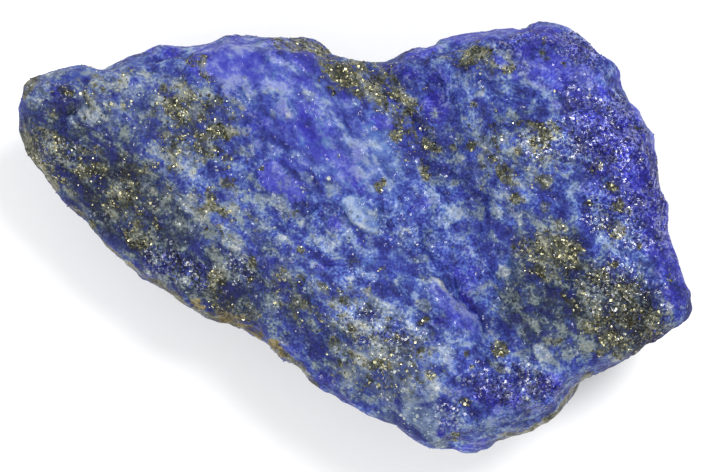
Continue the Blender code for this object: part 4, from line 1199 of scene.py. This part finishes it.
class RockLook(bpy.types.PropertyGroup):
    """Sizes of the rock's broken surface and of its mineral patterns."""

    net_size: bpy.props.FloatProperty(
        name="Net size", description="Size of the faces that the rock is made of",
        default=0.31 * MM, unit="LENGTH")
    chip_size: bpy.props.FloatProperty(
        name="Chip size", description="Width of the middle breaks",
        default=2.1 * MM, unit="LENGTH")
    chip_depth: bpy.props.FloatProperty(
        name="Chip depth", description="How far the middle breaks stand out",
        default=0.26 * MM, unit="LENGTH")
    hackle_size: bpy.props.FloatProperty(
        name="Hackle size", description="Width of the small breaks",
        default=1.15 * MM, unit="LENGTH")
    hackle_depth: bpy.props.FloatProperty(
        name="Hackle depth", description="How far the small breaks stand out",
        default=0.2 * MM, unit="LENGTH")
    sugar_size: bpy.props.FloatProperty(
        name="Sugar size", description="Width of the sugary grain",
        default=0.65 * MM, unit="LENGTH")
    sugar_depth: bpy.props.FloatProperty(
        name="Sugar depth", description="How far the sugary grain stands out",
        default=0.16 * MM, unit="LENGTH")
    cloud_size: bpy.props.FloatProperty(
        name="Cloud size", description="Size of the large clouds in the blue",
        default=5.0 * MM, unit="LENGTH")
    mottle_size: bpy.props.FloatProperty(
        name="Mottle size", description="Size of the small patches of mixed minerals",
        default=1.25 * MM, unit="LENGTH")
    grain_size: bpy.props.FloatProperty(
        name="Grain size", description="Size of the finest mineral grains",
        default=0.3 * MM, unit="LENGTH")
    glint_size: bpy.props.FloatProperty(
        name="Glint size", description="Size of a flat grain that flashes",
        default=0.26 * MM, unit="LENGTH")
    glint_lean: bpy.props.FloatProperty(
        name="Glint lean", description="How far the flat grains lean away from the surface",
        default=0.65)
    glint_roughness: bpy.props.FloatProperty(
        name="Glint roughness", description="How dull the flat grains are",
        default=0.12, min=0.0, max=1.0, subtype="FACTOR")
    pyrite_share: bpy.props.FloatProperty(
        name="Pyrite share", description="Share of metal grains in the densest pyrite",
        default=0.3, min=0.0, max=1.0, subtype="FACTOR")


class PyriteLook(bpy.types.PropertyGroup):
    """How many pyrite crystals there are, and how large."""

    count: bpy.props.IntProperty(
        name="Count", description="How many crystals grow on the rock", default=7800)
    smallest: bpy.props.FloatProperty(
        name="Smallest", description="Width of the smallest crystal",
        default=0.08 * MM, unit="LENGTH")
    largest: bpy.props.FloatProperty(
        name="Largest", description="Width of the largest crystal",
        default=0.28 * MM, unit="LENGTH")
    roughness: bpy.props.FloatProperty(
        name="Roughness", description="How dull the crystal faces are",
        default=0.26, min=0.0, max=1.0, subtype="FACTOR")
    seed: bpy.props.IntProperty(
        name="Seed", description="Start of the random draws", default=11)


class CalciteLook(bpy.types.PropertyGroup):
    """How many calcite grains there are, and how large."""

    count: bpy.props.IntProperty(
        name="Count", description="How many grains lie in the rock", default=2600)
    smallest: bpy.props.FloatProperty(
        name="Smallest", description="Width of the smallest grain",
        default=0.2 * MM, unit="LENGTH")
    largest: bpy.props.FloatProperty(
        name="Largest", description="Width of the largest grain",
        default=0.75 * MM, unit="LENGTH")
    seed: bpy.props.IntProperty(
        name="Seed", description="Start of the random draws", default=23)


class LazuriteLook(bpy.types.PropertyGroup):
    """How many cleaved blue grains there are, and how large."""

    count: bpy.props.IntProperty(
        name="Count", description="How many grains lie in the rock", default=5200)
    smallest: bpy.props.FloatProperty(
        name="Smallest", description="Width of the smallest grain",
        default=0.16 * MM, unit="LENGTH")
    largest: bpy.props.FloatProperty(
        name="Largest", description="Width of the largest grain",
        default=0.55 * MM, unit="LENGTH")
    seed: bpy.props.IntProperty(
        name="Seed", description="Start of the random draws", default=37)


class StageLook(bpy.types.PropertyGroup):
    """Floor, lights and camera."""

    floor_size: bpy.props.FloatProperty(
        name="Floor size", description="Width of the floor", default=3.0, unit="LENGTH")
    floor_colour: bpy.props.FloatVectorProperty(
        name="Floor colour", description="Colour of the matt board",
        default=hex_colour("#f6f6f6")[:3], min=0.0, max=1.0, size=3, subtype="COLOR")
    key_size: bpy.props.FloatProperty(
        name="Key size", description="Width of the bright softbox", default=0.3, unit="LENGTH")
    key_light: bpy.props.FloatProperty(
        name="Key light", description="Brightness of the bright softbox's face", default=15.5)
    fill_size: bpy.props.FloatProperty(
        name="Fill size", description="Width of the large softbox", default=0.45, unit="LENGTH")
    fill_light: bpy.props.FloatProperty(
        name="Fill light", description="Brightness of the large softbox's face", default=8.5)
    room_light: bpy.props.FloatProperty(
        name="Room light", description="Brightness of the grey room", default=0.6)
    camera_height: bpy.props.FloatProperty(
        name="Camera height", description="Height of the camera above the face",
        default=1.2, unit="LENGTH")


class LAPIS_OT_dress_rock(bpy.types.Operator):
    """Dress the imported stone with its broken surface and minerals"""

    bl_idname = "lapis.dress_rock"
    bl_label = "Dress rock"

    def execute(self, context):
        dress_rock(context.scene.lapis_rock)
        return {"FINISHED"}


class LAPIS_OT_grow_pyrite(bpy.types.Operator):
    """Grow the gold pyrite crystals"""

    bl_idname = "lapis.grow_pyrite"
    bl_label = "Grow pyrite"

    def execute(self, context):
        grow_pyrite(context.scene.lapis_pyrite)
        return {"FINISHED"}


class LAPIS_OT_grow_calcite(bpy.types.Operator):
    """Grow the pale calcite grains"""

    bl_idname = "lapis.grow_calcite"
    bl_label = "Grow calcite"

    def execute(self, context):
        grow_calcite(context.scene.lapis_calcite)
        return {"FINISHED"}


class LAPIS_OT_grow_lazurite(bpy.types.Operator):
    """Grow the cleaved blue grains"""

    bl_idname = "lapis.grow_lazurite"
    bl_label = "Grow lazurite"

    def execute(self, context):
        grow_lazurite(context.scene.lapis_lazurite)
        return {"FINISHED"}


class LAPIS_OT_set_stage(bpy.types.Operator):
    """Set the floor, the lights and the camera"""

    bl_idname = "lapis.set_stage"
    bl_label = "Set stage"

    def execute(self, context):
        set_stage(context.scene.lapis_stage)
        return {"FINISHED"}


class LAPIS_PT_sidebar(bpy.types.Panel):
    """Lists the steps and their sizes"""

    bl_label = "Rough lapis lazuli"
    bl_idname = "LAPIS_PT_sidebar"
    bl_space_type = "VIEW_3D"
    bl_region_type = "UI"
    bl_category = "Lapis"

    def draw(self, context):
        for look_name, _, step in STEPS:
            box = self.layout.box()
            look = getattr(context.scene, look_name)
            for name in look.bl_rna.properties.keys():
                if name not in {"rna_type", "name"}:
                    box.prop(look, name)
            box.operator(step.bl_idname)


STEPS = (
    ("lapis_rock", RockLook, LAPIS_OT_dress_rock),
    ("lapis_pyrite", PyriteLook, LAPIS_OT_grow_pyrite),
    ("lapis_calcite", CalciteLook, LAPIS_OT_grow_calcite),
    ("lapis_lazurite", LazuriteLook, LAPIS_OT_grow_lazurite),
    ("lapis_stage", StageLook, LAPIS_OT_set_stage),
)


def register():
    """Registers the looks, the steps and the panel."""
    for look_name, look, step in STEPS:
        bpy.utils.register_class(look)
        bpy.utils.register_class(step)
        setattr(bpy.types.Scene, look_name, bpy.props.PointerProperty(type=look))
    bpy.utils.register_class(LAPIS_PT_sidebar)


def unregister():
    """Takes away what register added."""
    bpy.utils.unregister_class(LAPIS_PT_sidebar)
    for look_name, look, step in reversed(STEPS):
        delattr(bpy.types.Scene, look_name)
        bpy.utils.unregister_class(step)
        bpy.utils.unregister_class(look)


def main():
    """Runs the steps in order."""
    register()
    bpy.ops.lapis.dress_rock()
    bpy.ops.lapis.grow_pyrite()
    bpy.ops.lapis.grow_calcite()
    bpy.ops.lapis.grow_lazurite()
    bpy.ops.lapis.set_stage()


if __name__ == "__main__":
    main()
